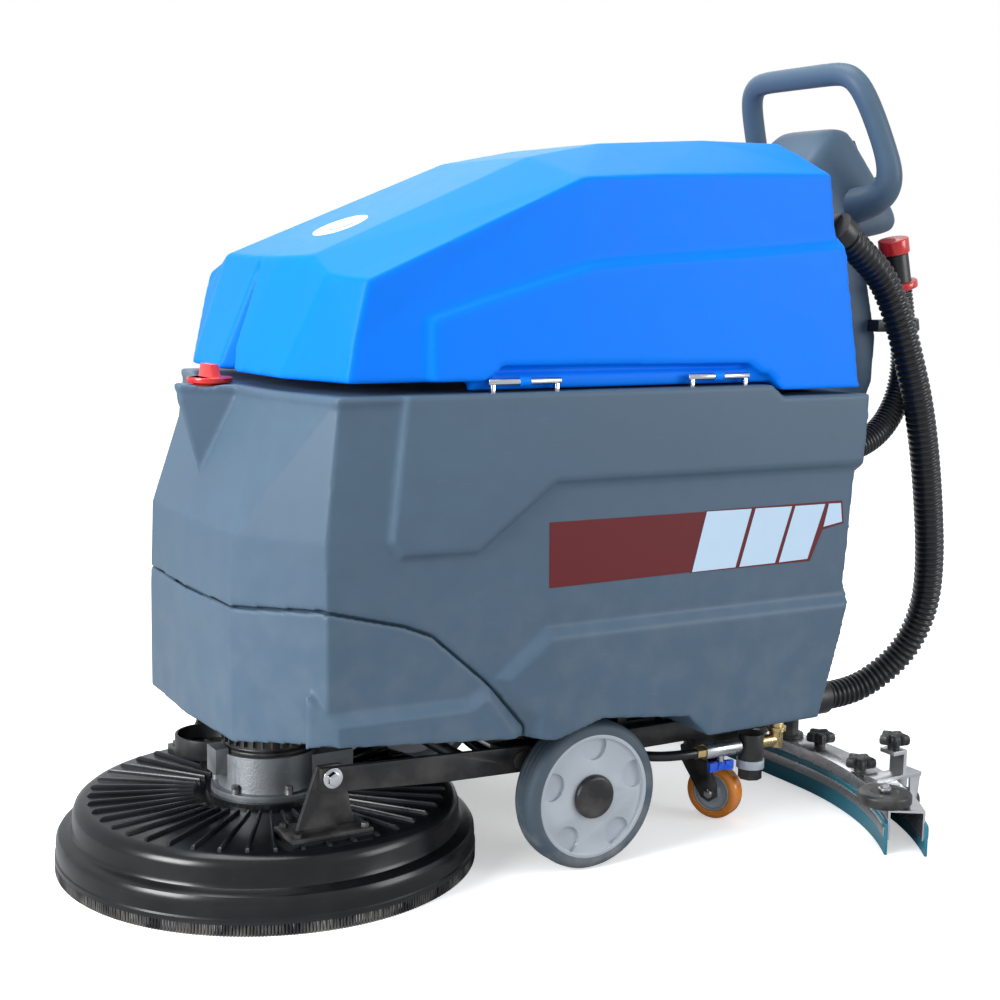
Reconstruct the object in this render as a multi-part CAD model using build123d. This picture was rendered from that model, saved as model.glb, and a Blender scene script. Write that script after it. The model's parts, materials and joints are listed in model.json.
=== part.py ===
from build123d import *

import math
import os

# Walk-behind floor scrubber, in millimetres.  +Z is up, the brush deck leads at -X and the
# operator walks at +X.  The origin is on the floor under the middle of the machine.

# ---- fits ----
RUN = 0.05          # radial clearance of a turning pin or shaft
GAP = 0.4           # air between neighbours that move apart
MOVE_GAP = 3.0      # air round a piece that swings past another

# ---- main wheels ----
AXLE_X = -11.0
WHEEL_R = 100.0
WHEEL_W = 48.0
WHEEL_FACE_Y = 262.0
TREAD_T = 16.6
HUB_CAP_R = 29.5
AXLE_R = 10.0
HUB_SCALLOPS = 5
SCALLOP_R = 19.0
SCALLOP_DEPTH = 5.0

# ---- grey body: half plan at four heights (nose, front corner, side corner, rear) ----
BODY_NOSE_Y = 148.0
BODY_SIDE_Y = 268.0
BODY_BOTTOM_Z = 165.0
BODY_CREASE_Z = 465.0
BODY_RIM_Z = 636.0
BODY_REAR_RIM_Z = 620.0
BODY_STEP_X = (255.0, 276.0)
BODY_WALL = 7.0
PANEL_PROUD = 6.0
SKIRT_GAP = 3.0
NOSE_X = -474.0
SIDE_CORNER_X = -400.0
REAR_X = 410.0
RIM_SETBACK = 55.0
SPOUT_TIP_X = -482.5
SPOUT_HALF_Y = 48.0
SPOUT_DROP = 20.0
SPOUT_APEX_Z = 526.0
FILLER_X = -440.0
FILLER_R = 22.0
FILLER_CAP_R = 29.0
FILLER_CAP_H = 24.0

# ---- blue recovery tank ----
TANK_BOTTOM_Z = 650.0
TANK_DROP = 22.0
TANK_WALL = 6.0
TANK_PROUD = 7.0
TANK_SIDE_Y = 258.0
TANK_REAR_X = 408.0
TANK_REAR_SLOPE = 0.135
GROOVE_HALF_Y = 50.0
GROOVE_DEPTH = 44.0
GROOVE_TOP_Z = 797.0
HINGE_Y = -262.0
HINGE_Z = 649.0
HINGE_ROD_R = 4.0
HINGE_SPANS = ((-184.0, -80.0), (118.0, 218.0))
HINGE_SLEEVE_R = 7.5
FLOAT_CAGE_X = 200.0
FLOAT_CAGE_R = 32.0
FLOAT_CAGE_H = 110.0

# ---- brush deck ----
DECK_X = -362.5
DECK_R = 277.0
DECK_STEP_R = DECK_R - 21.6
DECK_RIM_Z = 14.0
DECK_STEP_Z = 49.0
DECK_TOP_Z = 88.0
DECK_WALL = 6.0
DECK_RIBS = 44
RIB_IN_R = 98.0
RIB_OUT_R = DECK_R - 39.0
RIB_H = 5.0
RIB_W = 4.5
BRISTLE_SKIRT_R = DECK_R + 2.0
BRISTLE_SKIRT_T = 8.0
BRUSH_R = DECK_R - 25.0
BRUSH_IN_R = 110.0
BRUSH_PLATE_T = 12.0
BRISTLE_L = 30.0
DRIVE_SHAFT_R = 14.0
HOUSING_R = 66.0
HOUSING_TOP_Z = 150.0
HOUSING_REAR_X = -262.0
MOTOR_R = 56.0
MOTOR_TOP_Z = 300.0
CUP_X = -400.0
CUP_Y = 122.0
CUP_R = 47.0
CUP_Z = 116.0
CUP_H = 24.0

# ---- deck lift ----
ARM_Y = 200.0
ARM_T = 8.0
ARM_H = 34.0
ARM_PIVOT_X = -90.0
ARM_PIVOT_Z = 146.0
DECK_BOLT_Z = 163.0
PIVOT_R = 8.0
DECK_BOLT_R = 6.0
LIFT_TIE_X = -150.0
LIFT_TIE_Z = 141.0
LIFT_TIE_R = 9.0
EAR_T = 6.0
FOOT_L = 108.0

# ---- chassis ----
RAIL_Y = 176.0
RAIL_W = 34.0
RAIL_Z = (130.0, 160.0)
RAIL_X = (-112.0, 362.0)
CROSS_X = (-54.0, 130.0, 340.0)

# ---- rear casters ----
CASTER_X = 250.0
CASTER_Y = 147.0
CASTER_R = 40.0
CASTER_W = 28.0
CASTER_TRAIL = 26.0
CASTER_REST = (64.0, 22.0)
CASTER_BOLT_R = 4.0
KINGPIN_R = 6.0
FORK_T = 4.0
FORK_TOP_Z = 104.0
CASTER_PLATE_Z = 118.0
CASTER_PLATE = 78.0

# ---- squeegee ----
SQ_FRONT_X = 465.0
SQ_FLAT_Y = 120.0
SQ_BEND_R = 500.0
SQ_HALF_Y = 403.0
SQ_DEPTH = 50.0
SQ_TOP_Z = 62.0
SQ_SKIRT_Z = 20.0
SQ_SHEET = 3.0
BLADE_T = 4.0
BLADE_TOP_Z = 44.0
STRAP_T = 2.0
BOOM_PIVOT = (300.0, 112.0)
BOOM_W = 40.0
SWING_X = 440.0
SWING_PIN_R = 8.0
PORT_X = 490.0
PORT_Y = -62.0
PORT_R = 17.0
PORT_ELBOW_Z = 116.0
CUFF_END_X = 560.0
BUMPER_AT = (391.0, 380.0)
BUMPER_R = 37.5
BUMPER_H = 18.0
SUPPORT_AT = (519.0, 296.0)
SUPPORT_R = 20.0
SUPPORT_W = 18.0
SUPPORT_ANGLE = 19.6
KNOB_R = 21.0
KNOB_H = 16.0
ARM_KNOB_AT = (497.0, 130.0)
FRAME_KNOB_AT = (462.0, 256.0)

# ---- rear column, console and handle ----
COLUMN_X = (430.0, 605.0)
COLUMN_Y = 92.0
COLUMN_Z = (560.0, 836.0)
NECK_X = 498.0
NECK_TOP_Z = 900.0
CONSOLE_Y = 100.0
CONSOLE_TOP_Y = 62.0
CONSOLE_TOP_Z = 1003.0
CONSOLE_REAR = (642.0, 867.0)
SHELL_T = 5.0
HANDLE_R = 17.0
HANDLE_TOP = (513.0, 118.0, 1076.0)
HANDLE_LOW = (566.0, 149.0, 896.0)
HANDLE_ROOT = (548.0, 84.0, 884.0)
PANEL_T = 3.0

VACUUM_AT = (505.0, 660.0)
VACUUM_R = 62.0
LEVER_AT = (614.0, 46.0, 640.0)
LEVER_L = 150.0
LEVER_PIN_R = 5.0

# ---- hoses ----
SUCTION_R = 22.5
DRAIN_R = 20.0
WATER_R = 7.0
CUFF_R = 27.0
SEAL_Z = 862.0
SEAL_R = 32.0
SEAL_T = 8.0
SEAL_AIR = 2.0

# ---- water fittings ----
VALVE_Y = -213.0
VALVE_Z = 117.0
VALVE_X = 236.0
FILTER_X = 290.0

parts = {}


def add(name, *shapes):
    """Keep one node: a single solid, or several alike in one file."""
    solids = []
    for shape in shapes:
        solids += shape.solids()
    parts[name] = solids[0] if len(solids) == 1 else Compound(children=solids)


def block(x, y, z):
    """A box between pairs of limits."""
    size = [abs(b - a) for a, b in (x, y, z)]
    centre = [(a + b) / 2 for a, b in (x, y, z)]
    return Pos(*centre) * Box(*size)


def rod(start, end, radius):
    """A round bar between two points."""
    path = Vector(*end) - Vector(*start)
    return extrude(Plane(start, z_dir=path) * Circle(radius), path.length)


def pipe(start, end, outer, inner):
    """A hollow round bar between two points."""
    path = Vector(*end) - Vector(*start)
    ring = Circle(outer) - Circle(inner)
    return extrude(Plane(start, z_dir=path) * ring, path.length)


def prism_y(points, y_low, y_high):
    """Extrude an (x, z) outline along Y."""
    outline = Polyline(*[(x, y_low, z) for x, z in points], close=True)
    return extrude(make_face(outline), y_high - y_low, dir=(0, 1, 0))


def prism_x(points, x_low, x_high):
    """Extrude a (y, z) outline along X."""
    outline = Polyline(*[(x_low, y, z) for y, z in points], close=True)
    return extrude(make_face(outline), x_high - x_low, dir=(1, 0, 0))


def prism_z(points, z_low, z_high):
    """Extrude an (x, y) outline along Z."""
    outline = Polyline(*[(x, y, z_low) for x, y in points], close=True)
    return extrude(make_face(outline), z_high - z_low, dir=(0, 0, 1))


def mirrored(shape):
    """The same shape on the other side of the machine."""
    return mirror(shape, about=Plane.XZ)


def grown(points, by):
    """Move each side of a counter-clockwise outline outwards."""
    out = []
    count = len(points)
    for i in range(count):
        before, here, after = points[i - 1], points[i], points[(i + 1) % count]
        lines = []
        for a, b in ((before, here), (here, after)):
            length = math.hypot(b[0] - a[0], b[1] - a[1])
            nx = (b[1] - a[1]) / length
            ny = -(b[0] - a[0]) / length
            lines.append((nx, ny, nx * a[0] + ny * a[1] + by))
        (a1, b1, c1), (a2, b2, c2) = lines
        det = a1 * b2 - a2 * b1
        out.append(((c1 * b2 - c2 * b1) / det, (a1 * c2 - a2 * c1) / det))
    return out


def plan_loft(levels, by):
    """Stack outlines of equal corner count, each moved out by the same amount."""
    faces = []
    for z, points in levels:
        flat = Polyline(*[(x, y, z) for x, y in grown(points, by)], close=True)
        faces.append(make_face(flat))
    solid = None
    for low, high in zip(faces[:-1], faces[1:]):
        span = loft([low, high], ruled=True)
        solid = span if solid is None else solid + span
    return solid


def half_plan(nose, front, side, rear):
    """A symmetric plan outline from its half, counter-clockwise."""
    half = [nose, front, side, rear]
    near = [(x, -y) for x, y in half]
    far = [(x, y) for x, y in reversed(half[1:])]
    return near + far


# ---------------------------------------------------------------- body

def body_levels():
    """Plan outlines of the grey body from the bottom edge to the rim."""
    low_z = BODY_BOTTOM_Z
    mid_z = (BODY_BOTTOM_Z + BODY_CREASE_Z) / 2 + 35
    out = BODY_NOSE_Y
    side = BODY_SIDE_Y
    corner = SIDE_CORNER_X
    return [
        (low_z, half_plan((NOSE_X - 5, 0), (NOSE_X + 3, out + 5),
                          (corner, side + 5), (REAR_X - 68, side + 5))),
        (mid_z, half_plan((NOSE_X - 4, 0), (NOSE_X + 2, out),
                          (corner, side + 3), (REAR_X - 12, side + 3))),
        (BODY_CREASE_Z, half_plan((NOSE_X, 0), (NOSE_X + 6, out),
                                  (corner, side), (REAR_X, side))),
        (BODY_RIM_Z, half_plan((NOSE_X + RIM_SETBACK, 0),
                               (NOSE_X + RIM_SETBACK + 6, out - 6),
                               (corner + 19, side - 6), (REAR_X + 15, side - 6))),
    ]


GAP_LINE = [(-540, 388), (-474, 377), (-402, 388), (-297, 361), (-260, 346),
            (-185, 281), (-128, 216)]
ARCH_LINE = [(-128, 200), (-86, 192), (-15, 212), (125, 196), (158, BODY_BOTTOM_Z)]
UPPER_PANEL = [(-286, 700), (-323, 462), (-306, 440), (-199, 438), (-87, 520),
               (460, 517), (460, 700)]
LOWER_PANEL = [(-181, 283), (-101, 343), (460, 341), (460, 120), (-128, 120), (-128, 216)]
SKIRT_PANEL = [(-409, 269), (-215, 266), (-181, 283), (-128, 216), (-128, 120), (-409, 120)]


def shell_of(levels, wall):
    """Outer envelope and its hollow, both as solids."""
    outer = plan_loft(levels, 0)
    inner = plan_loft(levels, -wall)
    return outer, inner


def side_panels(levels, outline):
    """A proud field on both flanks, cut from a slightly larger envelope."""
    bigger = plan_loft(levels, PANEL_PROUD)
    reach = BODY_SIDE_Y + 40
    near = bigger & prism_y(outline, -reach, -BODY_SIDE_Y + 60)
    return near, mirrored(near)


def spout():
    """The pouring-lip bulge over the nose that carries the filler."""
    root_x = NOSE_X + RIM_SETBACK + 6
    rim = [(SPOUT_TIP_X, -6), (root_x, -SPOUT_HALF_Y), (root_x, SPOUT_HALF_Y),
           (SPOUT_TIP_X, 6)]
    low_z = BODY_RIM_Z - SPOUT_DROP
    block_top = prism_z(rim, low_z, BODY_RIM_Z)
    apex_x = NOSE_X + RIM_SETBACK * (SPOUT_APEX_Z - BODY_CREASE_Z) / (BODY_RIM_Z - BODY_CREASE_Z)
    tip = [(apex_x, -1), (apex_x + 25, -2), (apex_x + 25, 2), (apex_x, 1)]
    upper = make_face(Polyline(*[(x, y, low_z) for x, y in rim], close=True))
    lower = make_face(Polyline(*[(x, y, SPOUT_APEX_Z) for x, y in tip], close=True))
    return block_top + loft([lower, upper], ruled=True)


def body_profile():
    """Side outline of the tank moulding: above the skirt gap and over the wheels."""
    top = [(460, BODY_REAR_RIM_Z), (BODY_STEP_X[1], BODY_REAR_RIM_Z),
           (BODY_STEP_X[0], BODY_RIM_Z), (-540, BODY_RIM_Z)]
    return GAP_LINE + ARCH_LINE + [(460, BODY_BOTTOM_Z)] + top


def skirt_profile():
    """Side outline of the front skirt, one gap under the tank moulding."""
    top = [(x - 0.4 * SKIRT_GAP, z - SKIRT_GAP) for x, z in GAP_LINE]
    return top + [(-131, 201), (-402, 226), (-474, 208), (-540, 208)]


BAY_X = (-40.0, 372.0)
BAY_Y = 212.0
BAY_Z = 236.0


def build_body():
    levels = body_levels()
    outer, inner = shell_of(levels, BODY_WALL)
    reach = BODY_SIDE_Y + 60
    profile = prism_y(body_profile(), -reach, reach)
    body = outer & profile
    for outline in (UPPER_PANEL, LOWER_PANEL):
        for panel in side_panels(levels, outline):
            body += panel & profile
    body += spout()
    chamber_top = BODY_RIM_Z - BODY_WALL
    rear_top = BODY_REAR_RIM_Z - BODY_WALL
    low = BODY_BOTTOM_Z + BODY_WALL
    water = inner & prism_y([(-540, 397), (-474, 385), (-402, 397), (-293, 370), (-255, 354),
                             (-180, 289), (-120, 219), (-86, 200), (-15, 220), (128, 204),
                             (161, low), (460, low), (460, rear_top),
                             (BODY_STEP_X[1] - 2, rear_top), (BODY_STEP_X[0] - 2, chamber_top),
                             (-540, chamber_top)], -reach, reach)
    x_low, x_high = BAY_X
    water -= block((x_low - BODY_WALL, x_high + BODY_WALL), (-BAY_Y - BODY_WALL, BAY_Y + BODY_WALL),
                   (BAY_Z - BODY_WALL, BODY_RIM_Z + 1))
    body -= water
    body -= block(BAY_X, (-BAY_Y, BAY_Y), (BAY_Z, BODY_RIM_Z + 1))
    neck_low = SPOUT_APEX_Z + 46
    body -= rod((FILLER_X, 0, neck_low), (FILLER_X, 0, BODY_RIM_Z + 1), FILLER_R)
    for x_low, x_high in HINGE_SPANS:
        trough = block((x_low - 2, x_high + 2), (HINGE_Y - 20, HINGE_Y + 12),
                       (BODY_RIM_Z - 6, BODY_RIM_Z + 1))
        body -= trough
    end = DRAIN_POINTS[-1]
    socket = rod((REAR_X - 2, end[1], end[2]), (end[0] + 20, end[1], end[2]), DRAIN_R + 5)
    socket -= rod(end, (end[0] + 30, end[1], end[2]), DRAIN_R)
    body += socket - water
    add("solution_tank", body)

    skirt = (outer - inner) & prism_y(skirt_profile(), -reach, reach)
    skirt_cut = prism_y(skirt_profile(), -reach, reach)
    for panel in side_panels(levels, SKIRT_PANEL):
        proud = panel & skirt_cut
        skirt += proud - inner
    add("front_skirt", skirt)

    boss_r = FILLER_R - 1.0
    cap = rod((FILLER_X, 0, BODY_RIM_Z + GAP), (FILLER_X, 0, BODY_RIM_Z + 7), FILLER_CAP_R)
    cap += rod((FILLER_X, 0, BODY_RIM_Z - 18), (FILLER_X, 0, BODY_RIM_Z + 2), boss_r)
    grip = [(-FILLER_CAP_R + 3, BODY_RIM_Z + 6), (FILLER_CAP_R - 3, BODY_RIM_Z + 6),
            (FILLER_CAP_R - 12, BODY_RIM_Z + FILLER_CAP_H),
            (-FILLER_CAP_R + 12, BODY_RIM_Z + FILLER_CAP_H)]
    cap += prism_x(grip, FILLER_X - 6, FILLER_X + 6)
    add("filler_cap", cap)

    batteries = []
    for i in range(2):
        x_low = BAY_X[0] + 16 + i * 188
        for y in (-92, 92):
            case = block((x_low, x_low + 176), (y - 84, y + 84), (BAY_Z + GAP, BAY_Z + 220))
            for post in (-54, 54):
                case += rod((x_low + 30, y + post, BAY_Z + 219),
                            (x_low + 30, y + post, BAY_Z + 236), 8)
            batteries.append(case)
    add("battery_pack", *batteries)


# ---------------------------------------------------------------- recovery tank

def tank_section(x, ridge_y, ridge_z, side_y, side_z):
    """Six-cornered cross-section of the tank at one station."""
    low = TANK_BOTTOM_Z - TANK_DROP - 10
    return [(x, -TANK_SIDE_Y, low), (x, -side_y, side_z), (x, -ridge_y, ridge_z),
            (x, ridge_y, ridge_z), (x, side_y, side_z), (x, TANK_SIDE_Y, low)]


TANK_STATIONS = [(-480, 146, 748, 262, 712), (-45, 116, 930, 250, 899),
                 (70, 116, 953, 246, 907), (237, 122, 965, 244, 915),
                 (430, 145, 966, 240, 922)]


def tank_roof(by):
    """The tank's length-wise shape, moved in or out on its sides and roof."""
    faces = []
    for x, ridge_y, ridge_z, side_y, side_z in TANK_STATIONS:
        corners = tank_section(x, ridge_y + by / 2, ridge_z + by, side_y + by, side_z + by / 2)
        corners[0] = (x, -TANK_SIDE_Y - by, corners[0][2])
        corners[5] = (x, TANK_SIDE_Y + by, corners[5][2])
        faces.append(make_face(Polyline(*corners, close=True)))
    solid = None
    for back, front in zip(faces[:-1], faces[1:]):
        span = loft([back, front], ruled=True)
        solid = span if solid is None else solid + span
    return solid


def tank_levels():
    """Plan outlines that trim the tank's nose and rear."""
    low = TANK_BOTTOM_Z - TANK_DROP - 5
    side = TANK_SIDE_Y + 30
    rear_top = TANK_REAR_X - (990 - low) * TANK_REAR_SLOPE
    return [
        (low, half_plan((-428, 0), (-418, 151), (-374, side - 29), (TANK_REAR_X, side - 29))),
        (990, half_plan((-302, 0), (-299, 127), (-296, side - 29), (rear_top, side - 29))),
    ]


def tank_underside(shift):
    """Side outline of the tank, stepping down at the rear."""
    low = TANK_BOTTOM_Z + shift
    return [(-540, low), (BODY_STEP_X[0], low), (BODY_STEP_X[1], low - TANK_DROP),
            (500, low - TANK_DROP), (500, 1050), (-540, 1050)]


TANK_PANEL = [(-270, 731), (-192, 755), (-34, 798), (500, 832), (500, 600), (-273, 600)]
HINGE_NOTCH = [(-204, 640), (-162, 668), (219, 665), (262, 640), (262, 600), (-204, 600)]


def tank_body(by):
    """The tank as a solid, its walls moved in or out."""
    reach = TANK_SIDE_Y + 60
    solid = tank_roof(by) & plan_loft(tank_levels(), by)
    return solid & prism_y(tank_underside(-by if by < 0 else 0), -reach, reach)


def tank_groove():
    """The vee down the tank's nose that clears the filler cap."""
    low_z = TANK_BOTTOM_Z - 30
    front = -470
    low = [(front, -GROOVE_HALF_Y - 24), (front, GROOVE_HALF_Y + 24),
           (-419 + GROOVE_DEPTH, 3), (-419 + GROOVE_DEPTH, -3)]
    high = [(front, -12), (front, 12), (-366, 2), (-366, -2)]
    faces = []
    for z, points in ((low_z, low), (GROOVE_TOP_Z, high)):
        faces.append(make_face(Polyline(*[(x, y, z) for x, y in points], close=True)))
    return loft(faces, ruled=True)


def build_tank():
    reach = TANK_SIDE_Y + 40
    shell = tank_body(0)
    proud = tank_body(TANK_PROUD)
    near = proud & prism_y(TANK_PANEL, -reach, -TANK_SIDE_Y + 50)
    shell += near
    shell += mirrored(near)
    shell -= tank_groove()
    shell -= prism_y(HINGE_NOTCH, -reach, HINGE_Y + 14)
    hollow = tank_body(-TANK_WALL) & prism_y([(-352, 500), (-352, 1000), (600, 1000),
                                              (600, 500)], -reach, reach)
    hollow -= block((-232, 292), (-reach, HINGE_Y + 22), (500, TANK_BOTTOM_Z + 26))
    shell -= hollow

    cage_x = FLOAT_CAGE_X
    cage_z = TANK_BOTTOM_Z + TANK_WALL
    cage = pipe((cage_x, 60, cage_z), (cage_x, 60, cage_z + FLOAT_CAGE_H), FLOAT_CAGE_R,
                FLOAT_CAGE_R - 3)
    for k in range(4):
        cage -= Pos(cage_x, 60, cage_z + FLOAT_CAGE_H / 2) * (Rot(0, 0, k * 45) * Box(
            2 * FLOAT_CAGE_R + 4, 8, FLOAT_CAGE_H - 40))
    add("float_cage", cage)

    rods = []
    for x_low, x_high in HINGE_SPANS:
        rods.append(rod((x_low, HINGE_Y, HINGE_Z), (x_high, HINGE_Y, HINGE_Z), HINGE_ROD_R))
        for x in (x_low + 6, x_high - 6):
            post = block((x - 3, x + 3), (HINGE_Y - 3.5, HINGE_Y + 3.5),
                         (BODY_RIM_Z - 6, HINGE_Z - HINGE_ROD_R + 1))
            rods.append(post - rod((x - 4, HINGE_Y, HINGE_Z), (x + 4, HINGE_Y, HINGE_Z),
                                   HINGE_ROD_R))
        mid = (x_low + x_high) / 2
        sleeve = rod((mid - 16, HINGE_Y, HINGE_Z), (mid + 16, HINGE_Y, HINGE_Z),
                     HINGE_SLEEVE_R)
        sleeve += block((mid - 16, mid + 16), (HINGE_Y, HINGE_Y + 18),
                        (TANK_BOTTOM_Z, HINGE_Z + 15.5))
        shell += sleeve
        shell -= rod((mid - 17, HINGE_Y, HINGE_Z), (mid + 17, HINGE_Y, HINGE_Z),
                     HINGE_ROD_R + RUN)
    add("hinge_rods", *rods)
    collar_x = TANK_REAR_X - (SEAL_Z - TANK_BOTTOM_Z + TANK_DROP) * TANK_REAR_SLOPE
    shell += pipe((COLUMN_X[0] - SEAL_AIR, 0, SEAL_Z), (collar_x - TANK_WALL + 1, 0, SEAL_Z),
                 SEAL_R, SEAL_R - SEAL_T)
    add("recovery_tank", shell)


# ---------------------------------------------------------------- wheels

def spoke_point(k, count, radius, phase):
    """A point on a circle in a wheel's own plane."""
    angle = math.radians(phase + 360.0 * k / count)
    return radius * math.cos(angle), radius * math.sin(angle)


def build_wheel(side, name):
    """Tyre and hub of one main wheel; side is -1 on the left and 1 on the right."""
    face = side * WHEEL_FACE_Y
    back = side * (WHEEL_FACE_Y - WHEEL_W)
    centre = (AXLE_X, face, WHEEL_R)
    inner_r = WHEEL_R - TREAD_T
    tyre = pipe(centre, (AXLE_X, back, WHEEL_R), WHEEL_R, inner_r)
    tyre = fillet(tyre.edges().filter_by(GeomType.CIRCLE).sort_by(
        lambda edge: edge.radius)[-2:], 7)
    add(name + "_tyre", tyre)
    hub_face = side * (WHEEL_FACE_Y - 1.5)
    hub = rod((AXLE_X, hub_face, WHEEL_R), (AXLE_X, back, WHEEL_R), inner_r)
    dish = rod((AXLE_X, side * (WHEEL_FACE_Y + 1), WHEEL_R),
               (AXLE_X, side * (WHEEL_FACE_Y - 5), WHEEL_R), inner_r - 5)
    hub -= dish
    for k in range(HUB_SCALLOPS):
        x, z = spoke_point(k, HUB_SCALLOPS, inner_r - 16, 90)
        scoop = rod((AXLE_X + x, side * (WHEEL_FACE_Y - 4), WHEEL_R + z),
                    (AXLE_X + x, side * (WHEEL_FACE_Y - 5 - SCALLOP_DEPTH), WHEEL_R + z),
                    SCALLOP_R)
        rim = rod((AXLE_X, side * (WHEEL_FACE_Y + 1), WHEEL_R),
                  (AXLE_X, side * (WHEEL_FACE_Y - 20), WHEEL_R), inner_r - 5)
        hub -= scoop & rim
    hub -= pipe((AXLE_X, back - side, WHEEL_R), (AXLE_X, back + side * 24, WHEEL_R),
                inner_r - 6, 26)
    hub -= rod((AXLE_X, face + side, WHEEL_R), (AXLE_X, back - side, WHEEL_R),
               AXLE_R + RUN)
    cap_back = side * (WHEEL_FACE_Y - 4.9)
    cap = rod((AXLE_X, side * (WHEEL_FACE_Y + 4), WHEEL_R), (AXLE_X, cap_back, WHEEL_R),
              HUB_CAP_R)
    outer_edge = cap.edges().filter_by(GeomType.CIRCLE).sort_by(Axis.Y)
    cap = fillet(outer_edge[-1] if side > 0 else outer_edge[0], 6)
    add(name + "_hub", hub, cap)


def build_axle():
    reach = WHEEL_FACE_Y - 8
    add("axle", rod((AXLE_X, -reach, WHEEL_R), (AXLE_X, reach, WHEEL_R), AXLE_R))


# ---------------------------------------------------------------- chassis

def build_chassis():
    frame = None
    for side in (-1, 1):
        y = side * RAIL_Y
        rail = block(RAIL_X, (y - RAIL_W / 2, y + RAIL_W / 2), RAIL_Z)
        frame = rail if frame is None else frame + rail
        web_y = side * (RAIL_Y + RAIL_W / 2 - 6)
        web = prism_y([(AXLE_X - 55, RAIL_Z[0] + 2), (AXLE_X + 55, RAIL_Z[0] + 2),
                       (AXLE_X + 22, WHEEL_R - 22), (AXLE_X - 22, WHEEL_R - 22)],
                      web_y - 4, web_y + 4)
        frame += web
        lug = block((ARM_PIVOT_X - 20, ARM_PIVOT_X + 20),
                    (side * (RAIL_Y - 10), side * (ARM_Y - ARM_T / 2 - GAP)),
                    (ARM_PIVOT_Z - 18, RAIL_Z[1]))
        frame += lug
        frame += rod((ARM_PIVOT_X, side * RAIL_Y, ARM_PIVOT_Z),
                     (ARM_PIVOT_X, side * (ARM_Y + ARM_T / 2 + GAP), ARM_PIVOT_Z), PIVOT_R)
        frame += rod((ARM_PIVOT_X, side * (ARM_Y + ARM_T / 2 + GAP), ARM_PIVOT_Z),
                     (ARM_PIVOT_X, side * (ARM_Y + ARM_T / 2 + 4), ARM_PIVOT_Z), PIVOT_R + 5)
        plate_half = CASTER_PLATE / 2
        frame += block((CASTER_X - plate_half, CASTER_X + plate_half),
                       (side * (CASTER_Y - plate_half), side * (CASTER_Y + plate_half)),
                       (CASTER_PLATE_Z, RAIL_Z[0] + 1))
        frame += rod((CASTER_X, side * CASTER_Y, FORK_TOP_Z - 8),
                     (CASTER_X, side * CASTER_Y, CASTER_PLATE_Z + 2), KINGPIN_R)
        frame += rod((CASTER_X, side * CASTER_Y, FORK_TOP_Z - 12),
                     (CASTER_X, side * CASTER_Y, FORK_TOP_Z - FORK_T - GAP), KINGPIN_R + 4)
    inner_y = RAIL_Y - RAIL_W / 2 + 1
    for x in CROSS_X:
        frame += block((x - 12, x + 12), (-inner_y, inner_y), RAIL_Z)
    frame += block((158, RAIL_X[1]), (-RAIL_Y, RAIL_Y), (RAIL_Z[1] - 1, BODY_BOTTOM_Z - GAP))
    clevis_x, clevis_z = BOOM_PIVOT
    for side in (-1, 1):
        y = side * (BOOM_W / 2 + GAP)
        ear = block((clevis_x - 16, clevis_x + 30), (y, y + side * 8),
                    (clevis_z - 16, RAIL_Z[0] + 1))
        frame += ear
        frame += block((clevis_x + 10, 345), (y, y + side * 8), (RAIL_Z[0] - 4, RAIL_Z[1]))
    frame += rod((clevis_x, -BOOM_W / 2 - 6, clevis_z), (clevis_x, BOOM_W / 2 + 6, clevis_z),
                 PIVOT_R)
    frame -= rod((AXLE_X, -RAIL_Y - 40, WHEEL_R), (AXLE_X, RAIL_Y + 40, WHEEL_R), AXLE_R)
    frame += block((-66, 150), (-RAIL_Y + 6, RAIL_Y - 6), (RAIL_Z[1] - 1, RAIL_Z[1] + 4))
    for x in (-56.0, 90.0):
        frame += block((x - 8, x + 8), (-RAIL_Y, RAIL_Y), (RAIL_Z[1] + 3, 191))
    pin_y = RAIL_Y + RAIL_W / 2
    frame += rod((PEDAL_X, pin_y - 2, PEDAL_Z), (PEDAL_X, pin_y + 16, PEDAL_Z), PIVOT_R)
    add("chassis_frame", frame)


# ---------------------------------------------------------------- brush deck

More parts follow.
